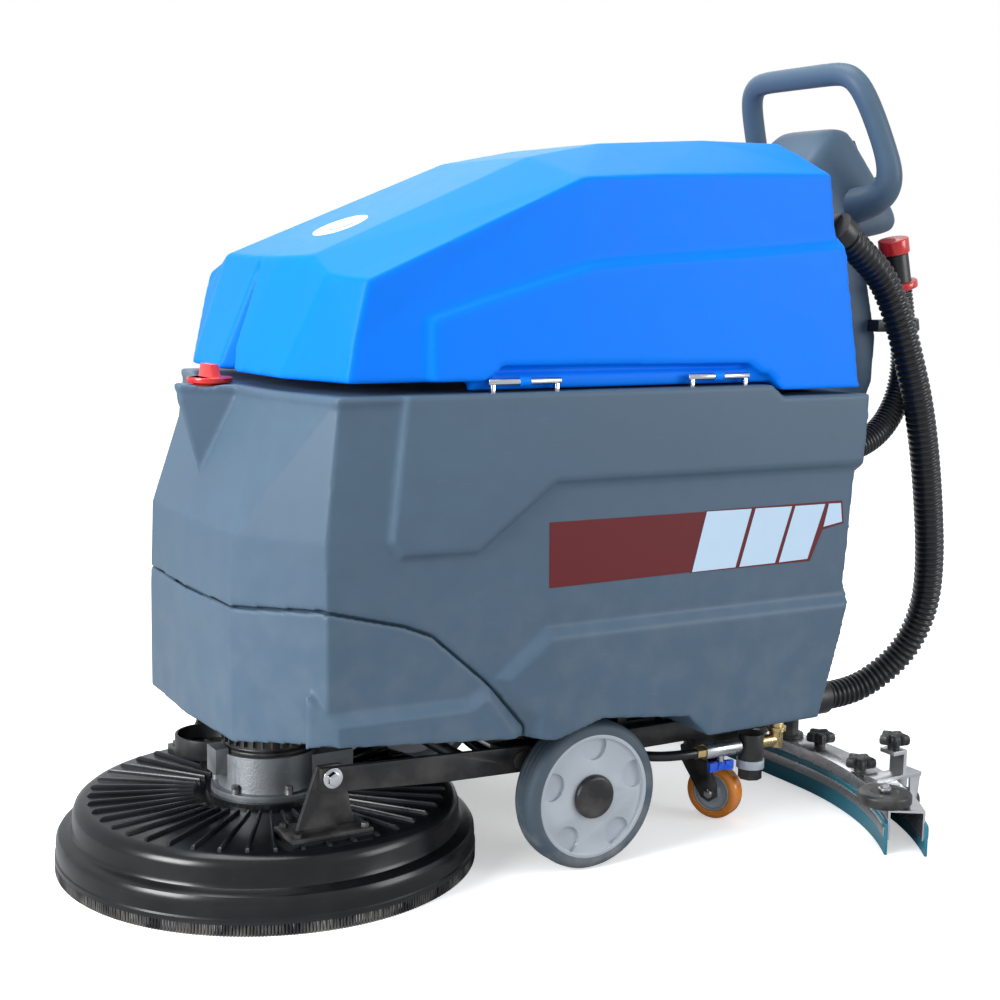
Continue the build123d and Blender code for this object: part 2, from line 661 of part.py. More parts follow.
def build_deck():
    def disc(radius, z_low, z_high):
        return rod((DECK_X, 0, z_low), (DECK_X, 0, z_high), radius)

    cover = disc(DECK_R, DECK_RIM_Z, DECK_STEP_Z)
    cover = fillet(cover.edges().filter_by(GeomType.CIRCLE).sort_by(Axis.Z)[-1], 7)
    top = disc(DECK_STEP_R, DECK_STEP_Z - 12, DECK_TOP_Z)
    top = fillet(top.edges().filter_by(GeomType.CIRCLE).sort_by(Axis.Z)[-1], 12)
    cover += top
    cover -= disc(DECK_R - DECK_WALL, DECK_RIM_Z - 1, DECK_STEP_Z - DECK_WALL)
    cover -= disc(DECK_STEP_R - DECK_WALL - 8, DECK_STEP_Z - DECK_WALL - 1, DECK_TOP_Z - DECK_WALL)
    for k in range(DECK_RIBS):
        angle = 360.0 * k / DECK_RIBS
        rib = Box(RIB_OUT_R - RIB_IN_R, RIB_W, RIB_H + 1)
        rib = Pos((RIB_OUT_R + RIB_IN_R) / 2, 0, DECK_TOP_Z + (RIB_H - 1) / 2) * rib
        cover += Pos(DECK_X, 0, 0) * (Rot(0, 0, angle) * rib)
    cover -= disc(DRIVE_SHAFT_R + MOVE_GAP, DECK_TOP_Z - DECK_WALL - 1, DECK_TOP_Z + 10)
    foot_y = (ARM_Y - 34, ARM_Y + 26)
    foot_x = (DECK_X - FOOT_L / 2 - 8, DECK_X + FOOT_L / 2 - 8)
    pad_top = DECK_TOP_Z + RIB_H + 1
    for side in (-1, 1):
        cover += block(foot_x, sorted((side * foot_y[0], side * foot_y[1])),
                       (DECK_TOP_Z - 1, pad_top))
    cover += disc(HOUSING_R + 16, DECK_TOP_Z - 1, pad_top) - disc(
        DRIVE_SHAFT_R + MOVE_GAP, DECK_TOP_Z - 2, pad_top + 1)
    add("deck_cover", cover)

    add("deck_skirt", pipe((DECK_X, 0, 0), (DECK_X, 0, DECK_RIM_Z), BRISTLE_SKIRT_R,
                           BRISTLE_SKIRT_R - BRISTLE_SKIRT_T))

    brackets = []
    for side in (-1, 1):
        base = block(foot_x, sorted((side * foot_y[0], side * foot_y[1])),
                     (pad_top, pad_top + 5))
        ear_in = side * (ARM_Y - ARM_T / 2 - GAP - EAR_T)
        ear_out = side * (ARM_Y - ARM_T / 2 - GAP)
        ear = prism_y([(DECK_X - 44, pad_top + 4), (DECK_X + 34, pad_top + 4),
                       (DECK_X + 16, DECK_BOLT_Z + 14), (DECK_X - 16, DECK_BOLT_Z + 14)],
                      min(ear_in, ear_out), max(ear_in, ear_out))
        stud = rod((DECK_X, ear_in, DECK_BOLT_Z),
                   (DECK_X, side * (ARM_Y + ARM_T / 2 + GAP), DECK_BOLT_Z), DECK_BOLT_R)
        washer = rod((DECK_X, side * (ARM_Y + ARM_T / 2 + GAP), DECK_BOLT_Z),
                     (DECK_X, side * (ARM_Y + ARM_T / 2 + 3), DECK_BOLT_Z), 13)
        head_plane = Plane((DECK_X, side * (ARM_Y + ARM_T / 2 + 3), DECK_BOLT_Z),
                           z_dir=(0, side, 0))
        head = extrude(head_plane * RegularPolygon(9, 6), 7)
        brackets.append(base + ear + stud + washer + head)
    add("deck_brackets", *brackets)

    housing_z = pad_top
    housing = disc(HOUSING_R, housing_z, HOUSING_TOP_Z)
    housing += block((DECK_X, HOUSING_REAR_X), (-52, 52), (housing_z + 8, HOUSING_TOP_Z - 6))
    housing += disc(HOUSING_R + 10, housing_z, housing_z + 8)
    housing += block((DECK_X - HOUSING_R - 14, DECK_X - MOTOR_R - 6), (-16, 16),
                     (HOUSING_TOP_Z - 26, HOUSING_TOP_Z + 8))
    for k in range(6):
        x, y = spoke_point(k, 6, HOUSING_R + 4, 30)
        housing += rod((DECK_X + x, y, housing_z + 7), (DECK_X + x, y, housing_z + 14), 5)
    housing -= disc(DRIVE_SHAFT_R + RUN, housing_z - 1, HOUSING_TOP_Z - 20)
    add("gear_housing", housing)

    motor = disc(MOTOR_R, HOUSING_TOP_Z, MOTOR_TOP_Z - 8)
    motor += disc(MOTOR_R - 10, MOTOR_TOP_Z - 9, MOTOR_TOP_Z)
    motor += disc(MOTOR_R + 5, HOUSING_TOP_Z, HOUSING_TOP_Z + 6)
    add("brush_motor", motor)

    cup = pipe((CUP_X, CUP_Y, CUP_Z), (CUP_X, CUP_Y, CUP_Z + CUP_H), CUP_R, CUP_R - 4)
    cup += rod((CUP_X, CUP_Y, CUP_Z - 4), (CUP_X, CUP_Y, CUP_Z + 4), CUP_R)
    cup += rod((CUP_X, CUP_Y, DECK_TOP_Z - DECK_WALL / 2), (CUP_X, CUP_Y, CUP_Z - 2), 13)
    cup += rod((CUP_X, CUP_Y, CUP_Z + 3), (CUP_X, CUP_Y, CUP_Z + 13), 7)
    cup -= rod((CUP_X + 20, CUP_Y, CUP_Z - 10), (CUP_X + 20, CUP_Y, CUP_Z + 10), 6)
    add("water_cup", cup)
    parts["deck_cover"] = parts["deck_cover"] - rod(
        (CUP_X, CUP_Y, DECK_TOP_Z - DECK_WALL - 1), (CUP_X, CUP_Y, DECK_TOP_Z + RIB_H + 2), 13)

    plate_z = BRISTLE_L
    plate = disc(BRUSH_R, plate_z, plate_z + BRUSH_PLATE_T) - disc(40, plate_z - 1, plate_z + 3)
    plate += disc(30, plate_z + BRUSH_PLATE_T - 1, DECK_TOP_Z - DECK_WALL - MOVE_GAP)
    plate += disc(DRIVE_SHAFT_R, plate_z + BRUSH_PLATE_T - 1, HOUSING_TOP_Z - 21)
    add("brush_plate", plate)
    add("brush_bristles", disc(BRUSH_R - 2, 0, plate_z) - disc(BRUSH_IN_R, -1, plate_z + 1))


def build_lift_arms():
    arms = None
    for side in (-1, 1):
        half = ARM_H / 2
        outline = [(DECK_X - 15, DECK_BOLT_Z - half), (-205, ARM_PIVOT_Z - half + 4),
                   (ARM_PIVOT_X + 14, ARM_PIVOT_Z - half), (ARM_PIVOT_X + 18, ARM_PIVOT_Z),
                   (ARM_PIVOT_X + 14, ARM_PIVOT_Z + half), (-205, ARM_PIVOT_Z + half + 6),
                   (DECK_X - 15, DECK_BOLT_Z + half - 4)]
        y_low = side * ARM_Y - ARM_T / 2
        arm = prism_y(outline, y_low, y_low + ARM_T)
        arm -= rod((ARM_PIVOT_X, side * (ARM_Y - 10), ARM_PIVOT_Z),
                   (ARM_PIVOT_X, side * (ARM_Y + 10), ARM_PIVOT_Z), PIVOT_R + RUN)
        arm -= rod((DECK_X, side * (ARM_Y - 10), DECK_BOLT_Z),
                   (DECK_X, side * (ARM_Y + 10), DECK_BOLT_Z), DECK_BOLT_R + RUN)
        arms = arm if arms is None else arms + arm
    tie_y = ARM_Y - ARM_T / 2 + 1
    arms += rod((LIFT_TIE_X, -tie_y, LIFT_TIE_Z), (LIFT_TIE_X, tie_y, LIFT_TIE_Z), LIFT_TIE_R)
    add("lift_arms", arms)


PEDAL_X = 320.0
PEDAL_Z = 146.0
PEDAL_L = 132.0


def build_pedal():
    y_low = RAIL_Y + RAIL_W / 2 + GAP
    arm = block((PEDAL_X - 14, PEDAL_X + PEDAL_L), (y_low + 2, y_low + 10),
                (PEDAL_Z - 11, PEDAL_Z + 11))
    pad = block((PEDAL_X + PEDAL_L - 34, PEDAL_X + PEDAL_L + 10), (y_low - 24, y_low + 34),
                (PEDAL_Z + 10, PEDAL_Z + 16))
    arm -= rod((PEDAL_X, y_low - 1, PEDAL_Z), (PEDAL_X, y_low + 30, PEDAL_Z), PIVOT_R + RUN)
    add("deck_pedal", arm + pad)


# ---------------------------------------------------------------- casters

def build_caster(side, name, rest):
    """Fork and wheel of one rear caster, turned to its stored heading."""
    def place(shape):
        return Pos(CASTER_X, side * CASTER_Y, 0) * (Rot(0, 0, rest) * shape)

    gap = CASTER_W / 2 + 1.2
    crown = block((-22, CASTER_TRAIL - 6), (-gap - FORK_T, gap + FORK_T),
                  (FORK_TOP_Z - FORK_T, FORK_TOP_Z))
    crown += rod((0, 0, FORK_TOP_Z - FORK_T), (0, 0, CASTER_PLATE_Z - GAP), 24)
    fork = crown
    for hand in (-1, 1):
        y = hand * (gap + FORK_T / 2)
        leg = prism_y([(-22, FORK_TOP_Z), (-20, FORK_TOP_Z - 22),
                       (CASTER_TRAIL - 13, CASTER_R - 8), (CASTER_TRAIL, CASTER_R - 13),
                       (CASTER_TRAIL + 12, CASTER_R - 4), (CASTER_TRAIL + 11, CASTER_R + 12),
                       (CASTER_TRAIL - 6, FORK_TOP_Z - 16), (CASTER_TRAIL - 6, FORK_TOP_Z)],
                      y - FORK_T / 2, y + FORK_T / 2)
        fork += leg
    bolt = rod((CASTER_TRAIL, -gap - FORK_T - 5, CASTER_R),
               (CASTER_TRAIL, gap + FORK_T + 5, CASTER_R), CASTER_BOLT_R)
    for hand in (-1, 1):
        start = hand * (gap + FORK_T)
        head_plane = Plane((CASTER_TRAIL, start, CASTER_R), z_dir=(0, hand, 0))
        bolt += extrude(head_plane * RegularPolygon(7, 6), 4)
    fork += bolt
    fork -= rod((0, 0, FORK_TOP_Z - FORK_T - 1), (0, 0, CASTER_PLATE_Z), KINGPIN_R + RUN)
    add(name + "_caster_fork", place(fork))

    half = CASTER_W / 2
    hub_r = CASTER_R - 12
    tyre = pipe((CASTER_TRAIL, -half, CASTER_R), (CASTER_TRAIL, half, CASTER_R), CASTER_R, hub_r)
    tyre = fillet(tyre.edges().filter_by(GeomType.CIRCLE).sort_by(
        lambda edge: edge.radius)[-2:], 8)
    hub = rod((CASTER_TRAIL, -half + 1, CASTER_R), (CASTER_TRAIL, half - 1, CASTER_R), hub_r)
    for hand in (-1, 1):
        hub -= pipe((CASTER_TRAIL, hand * (half - 6), CASTER_R),
                    (CASTER_TRAIL, hand * half, CASTER_R), hub_r - 3, 11)
    hub -= rod((CASTER_TRAIL, -half - 1, CASTER_R), (CASTER_TRAIL, half + 1, CASTER_R),
               CASTER_BOLT_R + RUN)
    add(name + "_caster_wheel", place(tyre), place(hub))


# ---------------------------------------------------------------- squeegee

def sq_point(offset, angle, side):
    """A point on the squeegee's curved end, at an angle off straight ahead."""
    turn = math.radians(angle)
    centre_x = SQ_FRONT_X - SQ_BEND_R
    radius = SQ_BEND_R + offset
    return centre_x + radius * math.cos(turn), side * (SQ_FLAT_Y + radius * math.sin(turn))


SQ_END = math.degrees(math.asin((SQ_HALF_Y - SQ_FLAT_Y) / SQ_BEND_R))


def sq_band(low, high, z_low, z_high, end=SQ_END):
    """A strip that follows the squeegee's curve between two offsets."""
    def edge_line(offset):
        near = ThreePointArc(sq_point(offset, end, -1), sq_point(offset, end / 2, -1),
                             sq_point(offset, 0, -1))
        mid = Line(sq_point(offset, 0, -1), sq_point(offset, 0, 1))
        far = ThreePointArc(sq_point(offset, 0, 1), sq_point(offset, end / 2, 1),
                            sq_point(offset, end, 1))
        return [near, mid, far]

    sides = [Line(sq_point(low, end, side), sq_point(high, end, side)) for side in (-1, 1)]
    face = make_face(edge_line(low) + edge_line(high) + sides)
    return Pos(0, 0, z_low) * extrude(face, z_high - z_low, dir=(0, 0, 1))


def star_knob(x, y, z):
    """A five-armed clamping knob on its stud."""
    knob = rod((x, y, z + 6), (x, y, z + 6 + KNOB_H), KNOB_R * 0.55)
    for k in range(5):
        arm = Pos(KNOB_R * 0.55, 0, 0) * Box(KNOB_R * 0.9, KNOB_R * 0.42, KNOB_H)
        knob += Pos(x, y, z + 6 + KNOB_H / 2) * (Rot(0, 0, 72 * k + 20) * arm)
    knob += rod((x, y, z + GAP), (x, y, z + 7), KNOB_R * 0.42)
    return knob


def build_squeegee():
    frame = sq_band(0, SQ_DEPTH, SQ_TOP_Z - SQ_SHEET, SQ_TOP_Z)
    frame += sq_band(0, SQ_SHEET, SQ_SKIRT_Z, SQ_TOP_Z)
    frame += sq_band(SQ_DEPTH - SQ_SHEET, SQ_DEPTH, SQ_SKIRT_Z, SQ_TOP_Z)
    port_hole = rod((PORT_X, PORT_Y, SQ_TOP_Z - 10), (PORT_X, PORT_Y, SQ_TOP_Z + 2), PORT_R - 3)
    frame -= port_hole
    bridge = block((SWING_X - 26, SQ_FRONT_X + 8), (-34, 34), (SQ_TOP_Z - 1, SQ_TOP_Z + 8))
    bar = block((SQ_FRONT_X + 2, SQ_FRONT_X + SQ_DEPTH - 2), (-20, 20), (SQ_TOP_Z - 1, SQ_TOP_Z + 8))
    frame += bridge + bar
    frame += rod((SWING_X, 0, SQ_TOP_Z + 7), (SWING_X, 0, BOOM_Z[1] + 6), SWING_PIN_R)
    frame += rod((SWING_X, 0, BOOM_Z[1] + GAP), (SWING_X, 0, BOOM_Z[1] + 6), SWING_PIN_R + 6)
    for side in (-1, 1):
        x, y = SUPPORT_AT
        y *= side
        mount_x = sq_point(SQ_DEPTH / 2, SUPPORT_ANGLE, 1)[0]
        y_span = sorted((y - 14, y + 14))
        shelf_z = SQ_TOP_Z + 42
        frame += block((mount_x - 14, x + 13), y_span, (SQ_TOP_Z - 1, SQ_TOP_Z + 5))
        frame += block((x - 24, x - 18), y_span, (SQ_TOP_Z + 4, shelf_z))
        frame += block((x - 44, x - 18), y_span, (shelf_z - 6, shelf_z))
        for hand in (-1, 1):
            leg_y = y + hand * (SUPPORT_W / 2 + 2.5)
            frame += prism_y([(x - 9, SQ_TOP_Z + 2), (x - 6, SUPPORT_R - 6),
                              (x + 6, SUPPORT_R - 6), (x + 12, SQ_TOP_Z + 2)],
                             leg_y - 1.5, leg_y + 1.5)
        frame += rod((x, y - SUPPORT_W / 2 - 6, SUPPORT_R), (x, y + SUPPORT_W / 2 + 6, SUPPORT_R), 4)
        bx, by = BUMPER_AT
        by *= side
        frame += rod((bx, by, SQ_TOP_Z - 1), (bx, by, SQ_TOP_Z + BUMPER_H + 5), 5)
        frame += rod((bx, by, SQ_TOP_Z + BUMPER_H + 1.2), (bx, by, SQ_TOP_Z + BUMPER_H + 5), 9)
    add("squeegee_frame", frame)

    low_end = SQ_END + 0.6
    add("squeegee_blades",
        sq_band(-BLADE_T, 0, 0, BLADE_TOP_Z, low_end),
        sq_band(SQ_DEPTH, SQ_DEPTH + BLADE_T, 0, BLADE_TOP_Z, low_end))
    add("blade_straps",
        sq_band(-BLADE_T - STRAP_T, -BLADE_T, 24, 38),
        sq_band(SQ_DEPTH + BLADE_T, SQ_DEPTH + BLADE_T + STRAP_T, 24, 38))

    for side, name in ((-1, "left"), (1, "right")):
        bx, by = BUMPER_AT
        roller = rod((bx, side * by, SQ_TOP_Z + 1), (bx, side * by, SQ_TOP_Z + 1 + BUMPER_H - 0.4),
                     BUMPER_R)
        roller = fillet(roller.edges().filter_by(GeomType.CIRCLE), 4)
        roller -= rod((bx, side * by, SQ_TOP_Z), (bx, side * by, SQ_TOP_Z + 40), 5 + RUN)
        add(name + "_bumper_roller", roller)
        x, y = SUPPORT_AT
        wheel = rod((x, side * y - SUPPORT_W / 2, SUPPORT_R), (x, side * y + SUPPORT_W / 2, SUPPORT_R),
                    SUPPORT_R)
        wheel = fillet(wheel.edges().filter_by(GeomType.CIRCLE), 3)
        wheel -= rod((x, side * y - 20, SUPPORT_R), (x, side * y + 20, SUPPORT_R), 4 + RUN)
        add(name + "_support_wheel", wheel)
        kx, ky = ARM_KNOB_AT
        add(name + "_arm_knob", star_knob(kx, side * ky, SQ_TOP_Z))
        kx, ky = FRAME_KNOB_AT
        add(name + "_frame_knob", star_knob(kx, side * ky, SQ_TOP_Z))
        add(name + "_height_knob", star_knob(x - 32, side * y, SQ_TOP_Z + 42))

    port_top = PORT_ELBOW_Z - PORT_R
    port = pipe((PORT_X, PORT_Y, SQ_TOP_Z), (PORT_X, PORT_Y, port_top + 4), PORT_R, PORT_R - 3)
    port += pipe((PORT_X, PORT_Y, SQ_TOP_Z), (PORT_X, PORT_Y, SQ_TOP_Z + 4), PORT_R + 8, PORT_R - 3)
    port += rod((PORT_X, PORT_Y, port_top), (PORT_X, PORT_Y, port_top + 2 * PORT_R), PORT_R + 3)
    elbow_z = PORT_ELBOW_Z
    port += rod((PORT_X, PORT_Y, elbow_z), (PORT_X + 42, PORT_Y, elbow_z), PORT_R)
    port += rod((CUFF_END_X - 36, PORT_Y, elbow_z), (CUFF_END_X, PORT_Y, elbow_z), CUFF_R)
    port -= rod((PORT_X + 4, PORT_Y, elbow_z), (CUFF_END_X + 1, PORT_Y, elbow_z), PORT_R - 3)
    port -= rod((PORT_X, PORT_Y, SQ_TOP_Z - 1), (PORT_X, PORT_Y, elbow_z), PORT_R - 3)
    add("squeegee_port", port)

    pivot_x, pivot_z = BOOM_PIVOT
    half = BOOM_W / 2
    boom = prism_y([(pivot_x - 16, pivot_z - 12), (pivot_x + 30, pivot_z - 14),
                    (SWING_X - 30, BOOM_Z[0]), (SWING_X + 18, BOOM_Z[0]),
                    (SWING_X + 18, BOOM_Z[1]), (SWING_X - 24, BOOM_Z[1]),
                    (pivot_x + 30, pivot_z + 12), (pivot_x - 16, pivot_z + 12)], -half, half)
    boom -= rod((pivot_x, -half - 1, pivot_z), (pivot_x, half + 1, pivot_z), PIVOT_R + RUN)
    boom -= rod((SWING_X, 0, BOOM_Z[0] - 1), (SWING_X, 0, BOOM_Z[1] + 1), SWING_PIN_R + RUN)
    add("squeegee_boom", boom)


BOOM_Z = (SQ_TOP_Z + 8 + GAP, SQ_TOP_Z + 30)


# ---------------------------------------------------------------- column, console, handle

def console_side():
    """Side outline of the console head."""
    rear_x, rear_z = CONSOLE_REAR
    return [(NECK_X + GAP, COLUMN_Z[1]), (COLUMN_X[1] - 36, COLUMN_Z[1]),
            (rear_x - 10, rear_z - 19), (rear_x, rear_z), (562, CONSOLE_TOP_Z),
            (528, CONSOLE_TOP_Z), (COLUMN_X[0] + 12, NECK_TOP_Z + 28),
            (COLUMN_X[0], NECK_TOP_Z + 10), (COLUMN_X[0], NECK_TOP_Z + GAP),
            (NECK_X + GAP, NECK_TOP_Z + GAP)]


def console_front(by):
    """Front outline of the console head."""
    low = COLUMN_Z[1] - 10
    return [(-CONSOLE_Y + by, low), (CONSOLE_Y - by, low), (CONSOLE_Y - by, 872),
            (CONSOLE_TOP_Y - by, CONSOLE_TOP_Z + 2), (-CONSOLE_TOP_Y + by, CONSOLE_TOP_Z + 2),
            (-CONSOLE_Y + by, 872)]


def counter_clockwise(points):
    """The same outline, turned so its area is positive."""
    area = 0.0
    for (ax, ay), (bx, by) in zip(points, points[1:] + points[:1]):
        area += ax * by - bx * ay
    return points if area > 0 else points[::-1]


def build_console():
    side = counter_clockwise(console_side())
    outer = prism_y(side, -CONSOLE_Y - 5, CONSOLE_Y + 5) & prism_x(console_front(0), 300, 800)
    inner = prism_y(grown(side, -SHELL_T), -CONSOLE_Y, CONSOLE_Y) & prism_x(
        console_front(SHELL_T), 300, 800)
    head = outer - inner
    for hand in (-1, 1):
        root = Vector(HANDLE_ROOT[0], hand * HANDLE_ROOT[1], HANDLE_ROOT[2])
        low = Vector(HANDLE_LOW[0], hand * HANDLE_LOW[1], HANDLE_LOW[2])
        towards = (low - root).normalized()
        socket_end = root + towards * 24
        head += rod(tuple(root - towards * 6), tuple(socket_end), HANDLE_R + 5)
        head -= rod(tuple(root), tuple(root + towards * 60), HANDLE_R)
    head -= panel_plane(KEY_AT) * Cylinder(10, 60)
    for place in ROCKERS_AT:
        head -= panel_plane(place) * Box(ROCKER_W + 2, ROCKER_L + 2, 40)
    add("console_head", head)

    low_z, high_z = COLUMN_Z
    foot = [(COLUMN_X[0], low_z - 35), (COLUMN_X[1] - 28, low_z), (COLUMN_X[1], low_z + 60),
            (COLUMN_X[1] + 2, low_z + 130), (COLUMN_X[1] - 36, high_z - GAP),
            (NECK_X, high_z - GAP), (NECK_X, NECK_TOP_Z), (COLUMN_X[0], NECK_TOP_Z)]
    foot = counter_clockwise(foot)
    column = prism_y(foot, -COLUMN_Y, COLUMN_Y)
    column -= prism_y(grown(foot, -SHELL_T), -COLUMN_Y + SHELL_T, COLUMN_Y - SHELL_T)
    flange_y = COLUMN_Y - 12
    column += block((REAR_X + 16.5, COLUMN_X[0] + 1), (-flange_y, flange_y), (low_z - 30, 612))
    x, y, z = LEVER_AT
    web = (COLUMN_X[1] + 0.5, x + 12)
    for hand in (-1, 1):
        column += block(web, sorted((y + hand * 14, y + hand * 20)), (z - 18, z + 18))
    column += rod((x + 2, y - 17, z), (x + 2, y + 17, z), LEVER_PIN_R)
    add("rear_column", column)

    motor_x, motor_z = VACUUM_AT
    motor = rod((motor_x, 0, motor_z - 62), (motor_x, 0, motor_z + 10), VACUUM_R)
    motor += rod((motor_x, 0, motor_z + 9), (motor_x, 0, motor_z + 58), VACUUM_R - 16)
    motor += block((COLUMN_X[0] + SHELL_T, motor_x - VACUUM_R + 10), (-30, 30),
                   (motor_z - 20, motor_z))
    add("vacuum_motor", motor)

    top = (HANDLE_TOP[0], -HANDLE_TOP[1], HANDLE_TOP[2])
    low = (HANDLE_LOW[0], -HANDLE_LOW[1], HANDLE_LOW[2])
    root = (HANDLE_ROOT[0], -HANDLE_ROOT[1], HANDLE_ROOT[2])
    points = [root, low, top]
    points += [(x, -y, z) for x, y, z in reversed(points)]
    path = FilletPolyline(*points, radius=[26, 44, 44, 26])
    start = Vector(*low) - Vector(*root)
    add("handle_loop", sweep(Plane(root, z_dir=start) * Circle(HANDLE_R), path=path))


def panel_plane(at):
    """A plane lying on the console's operator slope; at gives across and up the slope."""
    across, up = at
    rear_x, rear_z = CONSOLE_REAR
    length = math.hypot(562 - rear_x, CONSOLE_TOP_Z - rear_z)
    ux, uz = (562 - rear_x) / length, (CONSOLE_TOP_Z - rear_z) / length
    origin = (rear_x + ux * up, across, rear_z + uz * up)
    return Plane(origin, x_dir=(0, 1, 0), z_dir=(uz, 0, -ux))


KEY_AT = (-46.0, 52.0)
ROCKERS_AT = ((-8.0, 52.0), (26.0, 52.0))
GAUGE_AT = (8.0, 100.0)
ROCKER_W = 18.0
ROCKER_L = 28.0


def build_panel():
    centre = panel_plane((0, 78))
    plate = centre * (Pos(0, 0, PANEL_T / 2) * Box(116, 116, PANEL_T))
    gauge = panel_plane(GAUGE_AT) * (Pos(0, 0, PANEL_T + 1.5) * Box(62, 20, 3))
    for place in ROCKERS_AT:
        plate -= panel_plane(place) * Box(ROCKER_W + 1, ROCKER_L + 1, 30)
        bezel = Box(ROCKER_W + 6, ROCKER_L + 6, 3) - Box(ROCKER_W + 1, ROCKER_L + 1, 8)
        plate += panel_plane(place) * (Pos(0, 0, PANEL_T + 1) * bezel)
    plate -= panel_plane(KEY_AT) * Cylinder(8 + RUN, 40)
    add("control_panel", plate, gauge)
    key = Cylinder(8, 14) + Pos(0, 0, 14) * Box(3, 20, 16)
    key += Pos(0, 0, 24) * Cylinder(10, 3, rotation=(0, 90, 0))
    add("key_switch", panel_plane(KEY_AT) * (Pos(0, 0, 0) * key))
    for number, place in enumerate(ROCKERS_AT):
        rocker = Pos(0, 0, PANEL_T + 1) * Box(ROCKER_W - 0.6, ROCKER_L - 4, 6)
        name = ("brush_switch", "vacuum_switch")[number]
        add(name, panel_plane(place) * rocker)



def build_lever():
    x, y, z = LEVER_AT
    lever = block((x - 4, x + 8), (y - 5, y + 5), (z - 10, z + LEVER_L))
    lever += rod((x + 2, y, z + LEVER_L - 4), (x + 2, y, z + LEVER_L + 40), 14)
    lever -= rod((x + 2, y - 8, z), (x + 2, y + 8, z), LEVER_PIN_R + RUN)
    add("squeegee_lever", lever)


# ---------------------------------------------------------------- hoses

def hose_radii(points):
    """Arc radius at each corner: as large as its two runs allow."""
    radii = []
    for a, b, c in zip(points[:-2], points[1:-1], points[2:]):
        first = Vector(*b) - Vector(*a)
        second = Vector(*c) - Vector(*b)
        half_turn = math.radians(first.get_angle(second) / 2)
        radii.append(0.45 * min(first.length, second.length) / math.tan(half_turn))
    return radii


def hose(name, points, radius):
    """A plain round hose along straight runs joined by tangent arcs."""
    radii = hose_radii(points)
    path = FilletPolyline(*points, radius=radii)
    start = Vector(*points[1]) - Vector(*points[0])
    tube = sweep(Plane(points[0], z_dir=start) * Circle(radius), path=path)
    expected = math.pi * radius ** 2 * path.length
    print(name, "length", round(path.length, 1), "radii", [round(r, 1) for r in radii],
          "volume ratio", round(tube.volume / expected, 5))
    add(name, tube)


SUCTION_POINTS = [(476, -155, 838), (512, -156, 813), (551, -160, 779), (579, -166, 724),
                  (604, -169, 655), (632, -165, 590), (662, -155, 506), (691, -140, 420),
                  (716, -125, 333), (727, -109, 252), (705, -91, 180), (655, -72, 134),
                  (606, PORT_Y, PORT_ELBOW_Z), (CUFF_END_X, PORT_Y, PORT_ELBOW_Z)]
DRAIN_POINTS = [(619, -123, 764), (630, -121, 724), (640, -119, 680), (644, -117, 636),
                (635, -116, 591), (609, -117, 553), (570, -118, 528), (524, -118, 518),
                (478, -118, 514), (436, -118, 514)]
WATER_POINTS = [(VALVE_X - 46, VALVE_Y, VALVE_Z), (142, VALVE_Y, VALVE_Z), (92, -168, 118),
                (36, -124, 119), (-32, -108, 118), (-86, -104, 124), (-134, -100, 166),
                (-196, -92, 196), (-262, -52, 214), (-278, 32, 224), (-322, 100, 222),
                (-372, 124, 210), (-396, 126, 182)]


def build_hoses():
    hose("suction_hose", SUCTION_POINTS, SUCTION_R)
    hose("drain_hose", DRAIN_POINTS, DRAIN_R)
    hose("water_hose", WATER_POINTS, WATER_R)

    x, y, z = SUCTION_POINTS[0]
    away = (Vector(*SUCTION_POINTS[1]) - Vector(*SUCTION_POINTS[0])).normalized()
    mouth = Vector(x, y, z)
    back = mouth - away * 22
    port = rod(tuple(back), tuple(mouth), SUCTION_R + 4)
    port += rod((back.X, -COLUMN_Y, back.Z), (back.X, y, back.Z), SUCTION_R - 1)
    port += rod((back.X, -COLUMN_Y, back.Z), (back.X, -COLUMN_Y - 6, back.Z), SUCTION_R + 6)
    add("vacuum_port", port)

    start = Vector(*DRAIN_POINTS[0])
    up = (Vector(*DRAIN_POINTS[0]) - Vector(*DRAIN_POINTS[1])).normalized()
    ring = rod(tuple(start), tuple(start + up * 10), DRAIN_R + 9)
    barrel = rod(tuple(start + up * 9), tuple(start + up * 54), DRAIN_R)
    add("drain_fitting", ring + barrel)
    cap_low = start + up * (54 + GAP)
    cap = rod(tuple(cap_low), tuple(cap_low + up * 22), DRAIN_R + 3)
    add("drain_cap", cap)

    a, b = (Vector(*p) for p in DRAIN_POINTS[1:3])
    mid = a + (b - a) * 0.4
    along = (b - a).normalized()
    clip = rod(tuple(mid - along * 8), tuple(mid + along * 8), DRAIN_R + 5)
    clip += block((mid.X - 46, mid.X - 14), (-COLUMN_Y - 24, -COLUMN_Y), (mid.Z - 9, mid.Z + 9))
    clip -= rod(tuple(mid - along * 20), tuple(mid + along * 20), DRAIN_R + 0.8)
    add("drain_clip", clip)


# ---------------------------------------------------------------- water fittings

